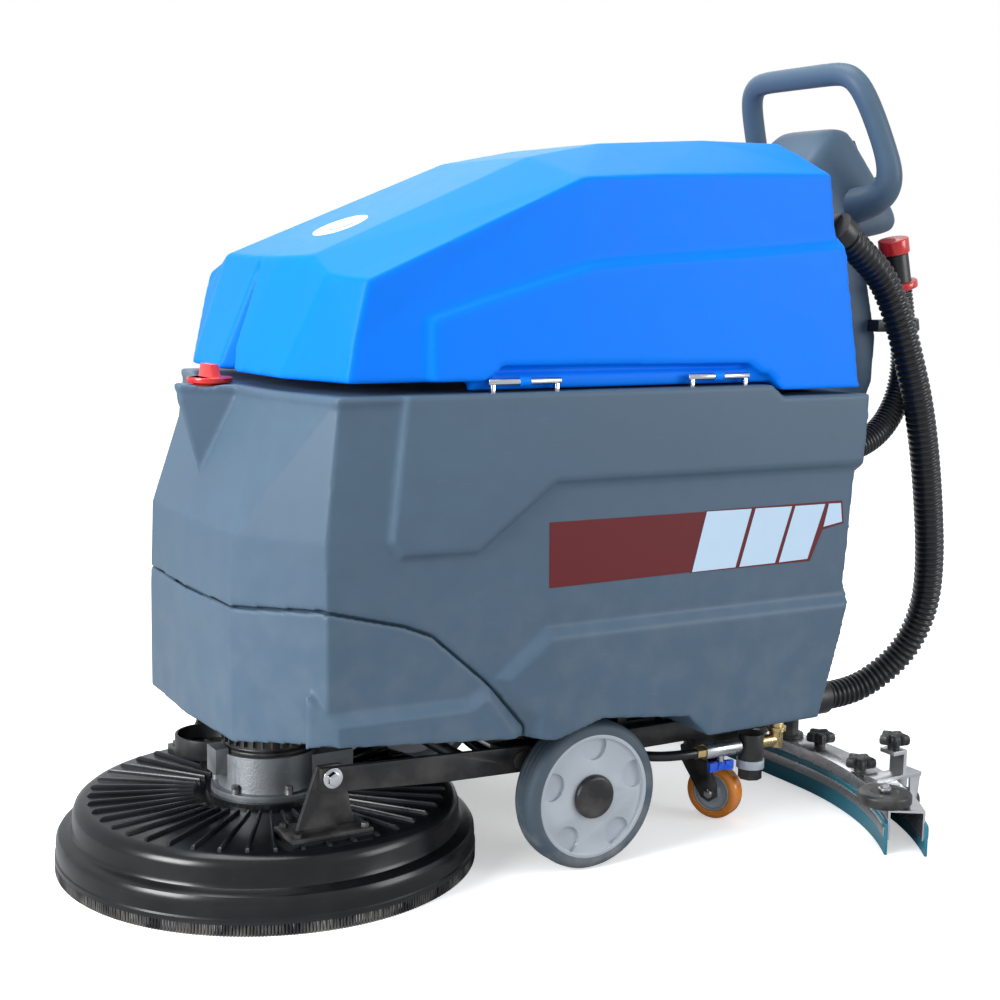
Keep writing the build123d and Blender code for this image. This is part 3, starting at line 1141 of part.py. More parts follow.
def build_fittings():
    y, z = VALVE_Y, VALVE_Z
    hex_face = Plane((VALVE_X - 46, y, z), z_dir=(1, 0, 0)) * RegularPolygon(9, 6)
    nipple = extrude(hex_face, 14)
    barrel = rod((VALVE_X - 32, y, z), (VALVE_X + 30, y, z), 11)
    stem = rod((VALVE_X, y, z - 18), (VALVE_X, y, z - 6), 5)
    bowl_top = z + 16
    bowl = rod((FILTER_X, y, z - 22), (FILTER_X, y, bowl_top), 18)
    ring = rod((FILTER_X, y, z - 34), (FILTER_X, y, z - 22), 20)
    nut_face = Plane((FILTER_X, y, z - 50), z_dir=(0, 0, 1)) * RegularPolygon(17, 8)
    nut = extrude(nut_face, 16)
    elbow_x = FILTER_X + 46
    link = rod((FILTER_X + 16, y, z), (elbow_x, y, z), 9)
    elbow = rod((elbow_x, y, z - 10), (elbow_x, y, BODY_BOTTOM_Z - GAP), 10)
    elbow += rod((elbow_x, y, z + 14), (elbow_x, y, z + 20), 14)
    add("water_fittings", nipple + barrel + stem, bowl + link + elbow, ring + nut)
    handle = Pos(VALVE_X, y, z - 26) * Box(14, 10, 7)
    for hand in (-1, 1):
        handle += Pos(VALVE_X + hand * 14, y, z - 25) * Box(14, 7, 13)
    handle += rod((VALVE_X, y, z - 29), (VALVE_X, y, z - 18 - GAP), 6)
    add("valve_handle", handle)


def main():
    build_body()
    build_tank()
    build_axle()
    build_wheel(-1, "left")
    build_wheel(1, "right")
    build_chassis()
    build_deck()
    build_lift_arms()
    build_pedal()
    build_caster(-1, "left", -CASTER_REST[0])
    build_caster(1, "right", CASTER_REST[1])
    build_squeegee()
    build_console()
    build_panel()
    build_lever()
    build_hoses()
    build_fittings()
    os.makedirs("parts", exist_ok=True)
    for name, shape in parts.items():
        shape.label = name
        export_step(shape, f"parts/{name}.step")
    print(len(parts), "nodes")


main()
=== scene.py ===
import json
import math

import bmesh
import bpy
from bpy.props import FloatProperty, FloatVectorProperty, IntProperty, PointerProperty
from mathutils import Euler, Matrix, Vector
from mathutils.bvhtree import BVHTree

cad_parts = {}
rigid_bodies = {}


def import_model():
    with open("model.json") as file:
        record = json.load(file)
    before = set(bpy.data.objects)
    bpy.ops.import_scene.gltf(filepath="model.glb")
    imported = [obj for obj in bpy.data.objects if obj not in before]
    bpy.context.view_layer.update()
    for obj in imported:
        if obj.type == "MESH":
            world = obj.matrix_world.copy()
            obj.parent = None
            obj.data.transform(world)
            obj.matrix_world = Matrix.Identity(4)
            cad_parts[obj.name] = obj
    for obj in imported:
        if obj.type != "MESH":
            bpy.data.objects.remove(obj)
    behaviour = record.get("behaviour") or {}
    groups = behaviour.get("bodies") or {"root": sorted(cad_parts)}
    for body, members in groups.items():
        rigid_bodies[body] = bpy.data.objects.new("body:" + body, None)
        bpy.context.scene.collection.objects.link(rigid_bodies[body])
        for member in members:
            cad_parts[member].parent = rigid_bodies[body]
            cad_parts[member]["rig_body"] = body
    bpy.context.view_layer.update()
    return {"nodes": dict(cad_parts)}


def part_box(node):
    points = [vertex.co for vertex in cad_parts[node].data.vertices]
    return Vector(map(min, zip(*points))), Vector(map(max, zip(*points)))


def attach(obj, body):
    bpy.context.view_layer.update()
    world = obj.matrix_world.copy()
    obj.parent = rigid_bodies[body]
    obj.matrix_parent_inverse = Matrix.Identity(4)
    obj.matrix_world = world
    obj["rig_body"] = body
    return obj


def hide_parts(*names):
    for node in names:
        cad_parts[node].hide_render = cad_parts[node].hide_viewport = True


bl_info = {
    "name": "Walk-behind floor scrubber",
    "version": (1, 0, 0),
    "blender": (4, 5, 0),
    "location": "View3D > Sidebar > Scrubber",
    "description": "Builds the visible pieces of a walk-behind floor scrubber round its frame",
    "category": "Object",
}

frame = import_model()
NODES = frame["nodes"]
MM = 0.001
WELD = 2e-6
FLAT_ANGLE = 0.6
EDGE_ANGLE = 30.0
HANDS = ((-1, "left"), (1, "right"))


# ------------------------------------------------------------------ settings

def colour(name, text, value):
    return FloatVectorProperty(name=name, description=text, default=value, size=3,
                               subtype="COLOR", min=0.0, max=1.0)


def length(name, text, value):
    return FloatProperty(name=name, description=text, default=value, unit="LENGTH",
                         subtype="DISTANCE", min=0.0)


class ScrubberSizes(bpy.types.PropertyGroup):
    body_voxel: length("Body grid", "Grid that the grey mouldings are skinned on", 0.0032)
    tank_voxel: length("Tank grid", "Grid that the blue tank is skinned on", 0.0034)
    fine_voxel: length("Fine grid", "Grid for the skirt and column", 0.0030)
    hose_pitch: length("Hose rib pitch", "Distance from rib to rib on the suction hose", 0.0098)
    hose_depth: length("Hose rib depth", "Depth between two ribs of the suction hose", 0.0034)
    drain_pitch: length("Drain rib pitch", "Distance from rib to rib on the drain hose", 0.0064)
    drain_depth: length("Drain rib depth", "Depth between two ribs of the drain hose", 0.0022)
    edge: length("Machined edge", "Radius put on the edges of metal pieces", 0.0009)
    deck_ribs: IntProperty(name="Deck ribs", description="Radial ribs on the brush deck",
                           default=44, min=12, max=90)
    skirt_tufts: IntProperty(name="Skirt tufts", description="Bristle tufts round the deck",
                             default=420, min=60, max=900)
    brush_tufts: IntProperty(name="Brush tufts", description="Bristle tufts in the outer row",
                             default=90, min=20, max=200)


class ScrubberColours(bpy.types.PropertyGroup):
    grey: colour("Grey moulding", "Solution tank, skirt, column and handle", (0.075, 0.123, 0.178))
    blue: colour("Blue moulding", "Recovery tank", (0.0, 0.195, 0.92))
    stripe: colour("Stripe", "Dark red bar on the sides", (0.125, 0.016, 0.020))
    blocks: colour("Slanted blocks", "Pale blocks behind the bar", (0.50, 0.66, 0.82))
    blade: colour("Blade rubber", "Squeegee blades", (0.012, 0.16, 0.23))
    tyre: colour("Drive tyre", "Drive wheel rubber", (0.055, 0.085, 0.115))
    caster: colour("Caster tyre", "Polyurethane of the casters", (0.86, 0.27, 0.012))
    red: colour("Caps", "Filler and drain caps", (0.62, 0.018, 0.016))


# ------------------------------------------------------------------ mesh helpers

def new_object(name, mesh):
    obj = bpy.data.objects.new(name, mesh)
    bpy.context.scene.collection.objects.link(obj)
    return obj


def from_bmesh(name, bm, materials=()):
    mesh = bpy.data.meshes.new(name)
    bmesh.ops.recalc_face_normals(bm, faces=bm.faces)
    bm.to_mesh(mesh)
    bm.free()
    for material in materials:
        mesh.materials.append(material)
    return new_object(name, mesh)


def bake(obj):
    """Turn an object's modifiers into plain mesh."""
    graph = bpy.context.evaluated_depsgraph_get()
    mesh = bpy.data.meshes.new_from_object(obj.evaluated_get(graph))
    old = obj.data
    obj.modifiers.clear()
    obj.data = mesh
    bpy.data.meshes.remove(old)
    mesh.name = obj.name
    return obj


def drop(obj):
    mesh = obj.data
    bpy.data.objects.remove(obj)
    if isinstance(mesh, bpy.types.Mesh):
        bpy.data.meshes.remove(mesh)


def shade(obj, angle=38.0):
    obj.data.shade_smooth()
    obj.data.set_sharp_from_angle(angle=math.radians(angle))
    return obj


def settle(obj, body, slot, *nodes):
    """Hand a finished piece to its body and let it stand for its nodes."""
    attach(obj, body)
    if nodes:
        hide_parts(*nodes)
    return obj


def stack(name, rings):
    """A closed solid through outlines of equal corner count, given in millimetres."""
    bm = bmesh.new()
    rows = [[bm.verts.new(Vector(p) * MM) for p in ring] for ring in rings]
    for low, high in zip(rows[:-1], rows[1:]):
        count = len(low)
        for i in range(count):
            j = (i + 1) % count
            bm.faces.new((low[i], low[j], high[j], high[i]))
    bm.faces.new(rows[0][::-1])
    bm.faces.new(rows[-1])
    return from_bmesh(name, bm)


def prism_y(points, reach_low, reach_high):
    return stack("cutter", [[(x, y, z) for x, z in points] for y in (reach_low, reach_high)])


def across(outline, reach=340):
    """A prism along Y that passes both flanks."""
    return prism_y(outline, -reach, reach)


def block(x, y, z):
    return stack("cutter", [[(x[0], y[0], h), (x[1], y[0], h), (x[1], y[1], h), (x[0], y[1], h)]
                            for h in z])


def circle(radius, sides, x=0.0, y=0.0):
    angles = [2 * math.pi * k / sides for k in range(sides)]
    return [(x + radius * math.cos(a), y + radius * math.sin(a)) for a in angles]


def drum(centre, radius, low, high, sides=64):
    ring = circle(radius, sides, *centre)
    return stack("cutter", [[(a, b, z) for a, b in ring] for z in (low, high)])


def combine(base, tool, operation):
    """Join, cut or intersect two solids; the tool is used up."""
    step = base.modifiers.new("combine", "BOOLEAN")
    step.operation = operation
    step.solver = "EXACT"
    step.object = tool
    bake(base)
    drop(tool)
    return base


def moulded(obj, voxel, rounds, factor=0.5, limit=150000):
    """Skin a solid afresh and relax it, so every edge is soft as on a rotational moulding."""
    skin = obj.modifiers.new("skin", "REMESH")
    skin.mode = "VOXEL"
    skin.voxel_size = voxel
    relax = obj.modifiers.new("relax", "SMOOTH")
    relax.factor = factor
    relax.iterations = rounds
    bake(obj)
    triangles = 2 * len(obj.data.polygons)
    if triangles > limit:
        thin = obj.modifiers.new("thin", "DECIMATE")
        thin.ratio = limit / triangles
        bake(obj)
    obj.data.shade_smooth()
    return obj


def grown(points, by):
    """Move each side of a counter-clockwise outline outwards."""
    out = []
    count = len(points)
    for i in range(count):
        before, here, after = points[i - 1], points[i], points[(i + 1) % count]
        lines = []
        for a, b in ((before, here), (here, after)):
            span = math.hypot(b[0] - a[0], b[1] - a[1])
            nx = (b[1] - a[1]) / span
            ny = -(b[0] - a[0]) / span
            lines.append((nx, ny, nx * a[0] + ny * a[1] + by))
        (a1, b1, c1), (a2, b2, c2) = lines
        det = a1 * b2 - a2 * b1
        out.append(((c1 * b2 - c2 * b1) / det, (a1 * c2 - a2 * c1) / det))
    return out


def half_plan(*half):
    near = [(x, -y) for x, y in half]
    far = [(x, y) for x, y in reversed(half[1:])]
    return near + far


def plan_stack(levels, by):
    return stack("envelope", [[(x, y, z) for x, y in grown(plan, by)] for z, plan in levels])


def merged_bmesh(node):
    """A welded copy of a frame node's mesh, with its flat faces joined up."""
    bm = bmesh.new()
    bm.from_mesh(NODES[node].data)
    bmesh.ops.remove_doubles(bm, verts=bm.verts, dist=WELD)
    bmesh.ops.dissolve_limit(bm, angle_limit=math.radians(FLAT_ANGLE), verts=bm.verts,
                             edges=bm.edges, delimit=set())
    return bm


def pieces_of(bm):
    """Faces grouped by connected solid."""
    left = set(bm.faces)
    groups = []
    while left:
        seed = left.pop()
        group = [seed]
        waiting = [seed]
        while waiting:
            face = waiting.pop()
            for edge in face.edges:
                for other in edge.link_faces:
                    if other in left:
                        left.remove(other)
                        group.append(other)
                        waiting.append(other)
        groups.append(group)
    return groups


def dressed(node, slot, finishes, edge=0.0009, segments=2, pick=None):
    """A frame node with rounded edges; pick(face centre, solid number) gives the finish."""
    bm = merged_bmesh(node)
    if pick is not None:
        groups = sorted(pieces_of(bm), key=lambda g: -sum(f.calc_area() for f in g))
        for number, group in enumerate(groups):
            for face in group:
                face.material_index = pick(face.calc_center_median() / MM, number)
    mesh = bpy.data.meshes.new(node + "_finished")
    bm.to_mesh(mesh)
    bm.free()
    for name in (finishes,) if isinstance(finishes, str) else finishes:
        mesh.materials.append(FINISHES[name])
    obj = new_object(node + "_finished", mesh)
    round_edges = obj.modifiers.new("edges", "BEVEL")
    round_edges.width = edge
    round_edges.segments = segments
    round_edges.limit_method = "ANGLE"
    round_edges.angle_limit = math.radians(EDGE_ANGLE)
    round_edges.use_clamp_overlap = True
    bake(obj)
    shade(obj)
    return settle(obj, NODES[node]["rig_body"], slot, node)


def whole_shell(obj, name, finish, body, node):
    """Name a moulded shell, colour it and let it stand for its node."""
    obj.name = name
    obj.data.materials.append(FINISHES[finish])
    return settle(obj, body, finish, node)


def lathe(name, profile, axis_point, axis, finish, sides):
    """Turn a closed (radius, height) outline in millimetres about an axis."""
    bm = bmesh.new()
    turn = Vector(axis).to_track_quat("Z", "Y").to_matrix()
    base = Vector(axis_point)
    rows = []
    for k in range(sides):
        angle = 2 * math.pi * k / sides
        row = []
        for radius, height in profile:
            local = Vector((radius * math.cos(angle), radius * math.sin(angle), height))
            row.append(bm.verts.new((base + turn @ local) * MM))
        rows.append(row)
    count = len(profile)
    for k in range(sides):
        here, after = rows[k], rows[(k + 1) % sides]
        for i in range(count):
            j = (i + 1) % count
            bm.faces.new((here[i], after[i], after[j], here[j]))
    bmesh.ops.remove_doubles(bm, verts=bm.verts, dist=1e-6)
    loose = [v for v in bm.verts if not v.link_faces]
    bmesh.ops.delete(bm, geom=loose, context="VERTS")
    bmesh.ops.dissolve_degenerate(bm, edges=bm.edges, dist=1e-7)
    return shade(from_bmesh(name, bm, [FINISHES[finish]]), 32)


def smooth_outline(points, radius, steps=4):
    """Round the corners of a closed (a, b) outline."""
    out = []
    count = len(points)
    for i in range(count):
        a, b, c = (Vector(points[j % count]) for j in (i - 1, i, i + 1))
        first, second = a - b, c - b
        reach = min(radius, first.length * 0.45, second.length * 0.45)
        start = b + first.normalized() * reach
        end = b + second.normalized() * reach
        for k in range(steps + 1):
            t = k / steps
            out.append(tuple((1 - t) ** 2 * start + 2 * t * (1 - t) * b + t ** 2 * end))
    return out


# ------------------------------------------------------------------ geometry nodes

def socket(tree, name, kind, default=None, side="INPUT"):
    item = tree.interface.new_socket(name=name, in_out=side, socket_type=kind)
    if default is not None:
        item.default_value = default
    return item


def wire(tree, node, inputs):
    """Give each input a plain value or another node's output."""
    for key, value in inputs.items():
        if isinstance(value, bpy.types.NodeSocket):
            tree.links.new(value, node.inputs[key])
        else:
            node.inputs[key].default_value = value
    return node


def add_node(tree, kind, inputs=None, **settings):
    made = tree.nodes.new(kind)
    for name, value in settings.items():
        setattr(made, name, value)
    return wire(tree, made, inputs or {})


def maths(tree, operation, first, second=0.0):
    return add_node(tree, "ShaderNodeMath", {0: first, 1: second}, operation=operation).outputs[0]


def ramp(tree, source, low, high, out_low, out_high, interpolation_type="LINEAR"):
    return add_node(tree, "ShaderNodeMapRange",
                    {"Value": source, "From Min": low, "From Max": high, "To Min": out_low,
                     "To Max": out_high}, interpolation_type=interpolation_type).outputs["Result"]


def geometry_tree(name, inputs):
    """A tree that takes and gives geometry, with further inputs."""
    tree = bpy.data.node_groups.new(name, "GeometryNodeTree")
    for label, kind, value in (("Geometry", "NodeSocketGeometry", None), *inputs):
        socket(tree, label, kind, value)
    socket(tree, "Geometry", "NodeSocketGeometry", side="OUTPUT")
    return tree, tree.nodes.new("NodeGroupInput").outputs


def close_tree(tree, shape, material):
    whole = add_node(tree, "GeometryNodeRealizeInstances", {"Geometry": shape})
    done = add_node(tree, "GeometryNodeSetMaterial",
                    {"Geometry": whole.outputs["Geometry"], "Material": material})
    add_node(tree, "NodeGroupOutput", {"Geometry": done.outputs["Geometry"]})
    return tree


def repeat_tree():
    """Places a unit on every vertex, turned by the vertex's own 'turn' angles."""
    tree, given = geometry_tree("repeat_units", (
        ("Unit", "NodeSocketObject", None), ("Finish", "NodeSocketMaterial", None),
        ("Size Jitter", "NodeSocketFloat", 0.0), ("Lean", "NodeSocketFloat", 0.0),
        ("Seed", "NodeSocketInt", 7)))
    unit = add_node(tree, "GeometryNodeObjectInfo", {"Object": given["Unit"]})
    turn = add_node(tree, "GeometryNodeInputNamedAttribute", {"Name": "turn"},
                    data_type="FLOAT_VECTOR")
    lean = add_node(tree, "FunctionNodeRandomValue",
                    {0: maths(tree, "MULTIPLY", given["Lean"], -1.0), 1: given["Lean"],
                     "Seed": given["Seed"]}, data_type="FLOAT_VECTOR")
    size = add_node(tree, "FunctionNodeRandomValue",
                    {2: maths(tree, "SUBTRACT", 1.0, given["Size Jitter"]), 3: 1.0,
                     "Seed": given["Seed"]}, data_type="FLOAT")
    total = add_node(tree, "ShaderNodeVectorMath",
                     {0: turn.outputs["Attribute"], 1: lean.outputs[0]}, operation="ADD")
    place = add_node(tree, "GeometryNodeInstanceOnPoints",
                     {"Points": given["Geometry"], "Instance": unit.outputs["Geometry"],
                      "Rotation": total.outputs[0], "Scale": size.outputs[1]})
    return close_tree(tree, place.outputs["Instances"], given["Finish"])


POINTS_PER_RIB = 8.0
RIB_CROWN = 0.55
HOSE_SIDES = 32


def hose_tree():
    """Skins a line as a ribbed hose."""
    tree, given = geometry_tree("ribbed_hose", (
        ("Diameter", "NodeSocketFloat", 0.04), ("Rib Pitch", "NodeSocketFloat", 0.01),
        ("Rib Depth", "NodeSocketFloat", 0.003), ("Finish", "NodeSocketMaterial", None)))
    line = add_node(tree, "GeometryNodeMeshToCurve", {"Mesh": given["Geometry"]})
    step = maths(tree, "DIVIDE", given["Rib Pitch"], POINTS_PER_RIB)
    spaced = add_node(tree, "GeometryNodeResampleCurve",
                      {"Curve": line.outputs["Curve"], "Length": step}, mode="LENGTH")
    along = add_node(tree, "GeometryNodeSplineParameter").outputs["Length"]
    turns = maths(tree, "DIVIDE", along, given["Rib Pitch"])
    wave = maths(tree, "COSINE", maths(tree, "MULTIPLY", turns, 2 * math.pi))
    half = maths(tree, "MULTIPLY", given["Diameter"], 0.5)
    root = maths(tree, "SUBTRACT", half, given["Rib Depth"])
    crown = ramp(tree, wave, -1.0, RIB_CROWN, root, half, "SMOOTHSTEP")
    radius = add_node(tree, "GeometryNodeSetCurveRadius",
                      {"Curve": spaced.outputs["Curve"], "Radius": crown})
    ring = add_node(tree, "GeometryNodeCurvePrimitiveCircle",
                    {"Resolution": HOSE_SIDES, "Radius": 1.0})
    skin = add_node(tree, "GeometryNodeCurveToMesh",
                    {"Curve": radius.outputs["Curve"], "Profile Curve": ring.outputs["Curve"],
                     "Fill Caps": True})
    if "Scale" in skin.inputs:
        wire(tree, skin, {"Scale": crown})
    soft = add_node(tree, "GeometryNodeSetShadeSmooth", {"Geometry": skin.outputs["Mesh"]})
    return close_tree(tree, soft.outputs["Geometry"], given["Finish"])


def feed(modifier, **values):
    """Set a node modifier's inputs by name."""
    for item in modifier.node_group.interface.items_tree:
        if item.item_type == "SOCKET" and item.in_out == "INPUT":
            key = item.name.replace(" ", "_").lower()
            if key in values:
                modifier[item.identifier] = values[key]


def repeated(name, points, unit, finish, jitter=0.0, lean=0.0, seed=7):
    """A unit at each (place, turn) pair: places in millimetres, turns in radians."""
    mesh = bpy.data.meshes.new(name)
    mesh.from_pydata([Vector(p) * MM for p, _ in points], [], [])
    turns = mesh.attributes.new("turn", "FLOAT_VECTOR", "POINT")
    for i, (_, turn) in enumerate(points):
        turns.data[i].vector = turn
    obj = new_object(name, mesh)
    tree = bpy.data.node_groups.get("repeat_units") or repeat_tree()
    step = obj.modifiers.new("repeat", "NODES")
    step.node_group = tree
    feed(step, unit=unit, finish=finish, size_jitter=jitter, lean=lean, seed=seed)
    bake(obj)
    drop(unit)
    return shade(obj, 40)


def round_unit(name, levels, sides):
    """A small turned unit from (radius, height) levels."""
    return stack(name, [[(x, y, height) for x, y in circle(radius, sides)]
                        for radius, height in levels])


def facing(direction):
    return Vector(direction).to_track_quat("Z", "Y").to_euler()


# ------------------------------------------------------------------ shader groups

def shader_group(name, inputs, outputs):
    tree = bpy.data.node_groups.new(name, "ShaderNodeTree")
    for label, kind, value in inputs:
        socket(tree, label, kind, value)
    for label, kind in outputs:
        socket(tree, label, kind, side="OUTPUT")
    return tree, tree.nodes.new("NodeGroupInput"), tree.nodes.new("NodeGroupOutput")


def object_noise(tree, scale, detail=3.0, stretch=(1, 1, 1), offset=(0, 0, 0)):
    """Noise on the piece's own coordinates."""
    where = add_node(tree, "ShaderNodeTexCoord").outputs["Object"]
    place = add_node(tree, "ShaderNodeMapping",
                     {"Vector": where, "Scale": stretch, "Location": offset})
    return add_node(tree, "ShaderNodeTexNoise",
                    {"Vector": place.outputs["Vector"], "Detail": detail,
                     "Scale": scale}).outputs["Fac"]


MIX_FIRST, MIX_SECOND, MIX_RESULT = 6, 7, 2


def mixed(tree, factor, first, second):
    inputs = {"Factor": factor}
    for index, value in ((MIX_FIRST, first), (MIX_SECOND, second)):
        inputs[index] = (*value, 1.0) if isinstance(value, tuple) else value
    return add_node(tree, "ShaderNodeMix", inputs, data_type="RGBA").outputs[MIX_RESULT]


def surface_group():
    """Slow tone changes, a moulded or cast grain, and a roughness that wanders with them."""
    tree, given, out = shader_group(
        "surface_variation",
        [("Colour", "NodeSocketColor", (0.5, 0.5, 0.5, 1)), ("Tone", "NodeSocketFloat", 0.12),
         ("Roughness", "NodeSocketFloat", 0.4), ("Spread", "NodeSocketFloat", 0.1),
         ("Grain Scale", "NodeSocketFloat", 900.0)],
        [("Colour", "NodeSocketColor"), ("Roughness", "NodeSocketFloat"),
         ("Height", "NodeSocketFloat")])
    slow = object_noise(tree, 3.2, 3.0)
    fine = object_noise(tree, given.outputs["Grain Scale"], 2.0)
    middle = object_noise(tree, 38.0, 4.0, offset=(3, 1, 2))
    blend = maths(tree, "ADD", maths(tree, "MULTIPLY", slow, 0.65),
                  maths(tree, "MULTIPLY", middle, 0.35))
    darker = maths(tree, "SUBTRACT", 1.0, given.outputs["Tone"])
    lighter = maths(tree, "ADD", 1.0, maths(tree, "MULTIPLY", given.outputs["Tone"], 0.7))
    level = ramp(tree, blend, 0.3, 0.7, darker, lighter)
    scale = add_node(tree, "ShaderNodeVectorMath", {0: given.outputs["Colour"]},
                     operation="SCALE")
    wire(tree, scale, {"Scale": level})
    tree.links.new(scale.outputs[0], out.inputs["Colour"])
    wander = maths(tree, "MULTIPLY", maths(tree, "SUBTRACT", middle, 0.5),
                   given.outputs["Spread"])
    tree.links.new(maths(tree, "ADD", given.outputs["Roughness"], wander),
                   out.inputs["Roughness"])
    tree.links.new(maths(tree, "ADD", fine,
                         maths(tree, "MULTIPLY", middle, 0.35)),
                   out.inputs["Height"])
    return tree


def wear_group():
    """Fine scratches and rubbed edges as one mask."""
    tree, given, out = shader_group(
        "scuffs_and_edges",
        [("Scratch Scale", "NodeSocketFloat", 24.0), ("Scratches", "NodeSocketFloat", 0.5),
         ("Edges", "NodeSocketFloat", 0.5)],
        [("Mask", "NodeSocketFloat")])
    lines = object_noise(tree, given.outputs["Scratch Scale"], 5.0, stretch=(1, 6, 14))
    patches = object_noise(tree, 9.0, 3.0, offset=(5, 2, 8))
    scratch = maths(tree, "MULTIPLY", ramp(tree, lines, 0.66, 0.74, 0.0, 1.0),
                    ramp(tree, patches, 0.48, 0.62, 0.0, 1.0))
    scratch = maths(tree, "MULTIPLY", scratch, given.outputs["Scratches"])
    geometry = tree.nodes.new("ShaderNodeNewGeometry")
    rubbed = maths(tree, "MULTIPLY",
                   ramp(tree, geometry.outputs["Pointiness"], 0.53, 0.62, 0.0, 1.0),
                   ramp(tree, patches, 0.36, 0.6, 0.0, 1.0))
    rubbed = maths(tree, "MULTIPLY", rubbed, given.outputs["Edges"])
    tree.links.new(maths(tree, "MAXIMUM", scratch, rubbed), out.inputs["Mask"])
    return tree


def dust_group():
    """Pale dust that thins out with height."""
    tree, given, out = shader_group(
        "floor_dust",
        [("Colour", "NodeSocketColor", (0.1, 0.1, 0.1, 1)), ("Top", "NodeSocketFloat", 0.2),
         ("Amount", "NodeSocketFloat", 0.3)],
        [("Colour", "NodeSocketColor"), ("Mask", "NodeSocketFloat")])
    where = tree.nodes.new("ShaderNodeTexCoord")
    split = tree.nodes.new("ShaderNodeSeparateXYZ")
    tree.links.new(where.outputs["Object"], split.inputs[0])
    height = maths(tree, "DIVIDE", split.outputs["Z"], given.outputs["Top"])
    low = ramp(tree, height, 0.0, 1.0, 1.0, 0.0)
    cloud = object_noise(tree, 26.0, 6.0, offset=(1, 7, 3))
    mask = maths(tree, "MULTIPLY", maths(tree, "MULTIPLY", low, given.outputs["Amount"]),
                 ramp(tree, cloud, 0.42, 0.68, 0.0, 1.0))
    tree.links.new(mixed(tree, mask, given.outputs["Colour"], (0.42, 0.40, 0.37)),
                   out.inputs["Colour"])
    tree.links.new(mask, out.inputs["Mask"])
    return tree


FINISHES = {}


WEAR_ROUGHENS = 0.12
DUST_ROUGHENS = 0.3
GRAIN_DEPTH = 0.0006
COAT_ROUGHNESS = 0.12
SUBSURFACE_DEPTH = 0.01


def grouped(tree, group, inputs):
    return add_node(tree, "ShaderNodeGroup", inputs,
                    node_tree=bpy.data.node_groups[group]).outputs


def finish(name, base, roughness, metallic=0.0, tone=0.12, spread=0.1, grain=900.0, bump=0.1,
           worn=None, scratches=0.0, edges=0.0, dust=0.0, dust_top=0.25, coat=0.0,
           specular=0.5, subsurface=0.0):
    """One material: base colour and roughness wander, wear and dust lie on top."""
    material = bpy.data.materials.new(name)
    material.use_nodes = True
    tree = material.node_tree
    surface = grouped(tree, "surface_variation",
                      {"Colour": (*base, 1.0), "Tone": tone, "Roughness": roughness,
                       "Spread": spread, "Grain Scale": grain})
    tint, rough = surface["Colour"], surface["Roughness"]
    if worn is not None:
        mask = grouped(tree, "scuffs_and_edges", {"Scratches": scratches, "Edges": edges})["Mask"]
        tint = mixed(tree, mask, tint, worn)
        rough = maths(tree, "ADD", rough, maths(tree, "MULTIPLY", mask, WEAR_ROUGHENS))
    if dust:
        powder = grouped(tree, "floor_dust", {"Amount": dust, "Top": dust_top, "Colour": tint})
        tint = powder["Colour"]
        rough = maths(tree, "ADD", rough, maths(tree, "MULTIPLY", powder["Mask"], DUST_ROUGHENS))
    relief = add_node(tree, "ShaderNodeBump", {"Strength": bump, "Distance": GRAIN_DEPTH,
                                               "Height": surface["Height"]})
    wire(tree, tree.nodes["Principled BSDF"],
         {"Base Color": tint, "Roughness": rough, "Metallic": metallic,
          "Specular IOR Level": specular, "Coat Weight": coat, "Coat Roughness": COAT_ROUGHNESS,
          "Subsurface Weight": subsurface, "Subsurface Scale": SUBSURFACE_DEPTH,
          "Normal": relief.outputs["Normal"]})
    FINISHES[name] = material
    return material


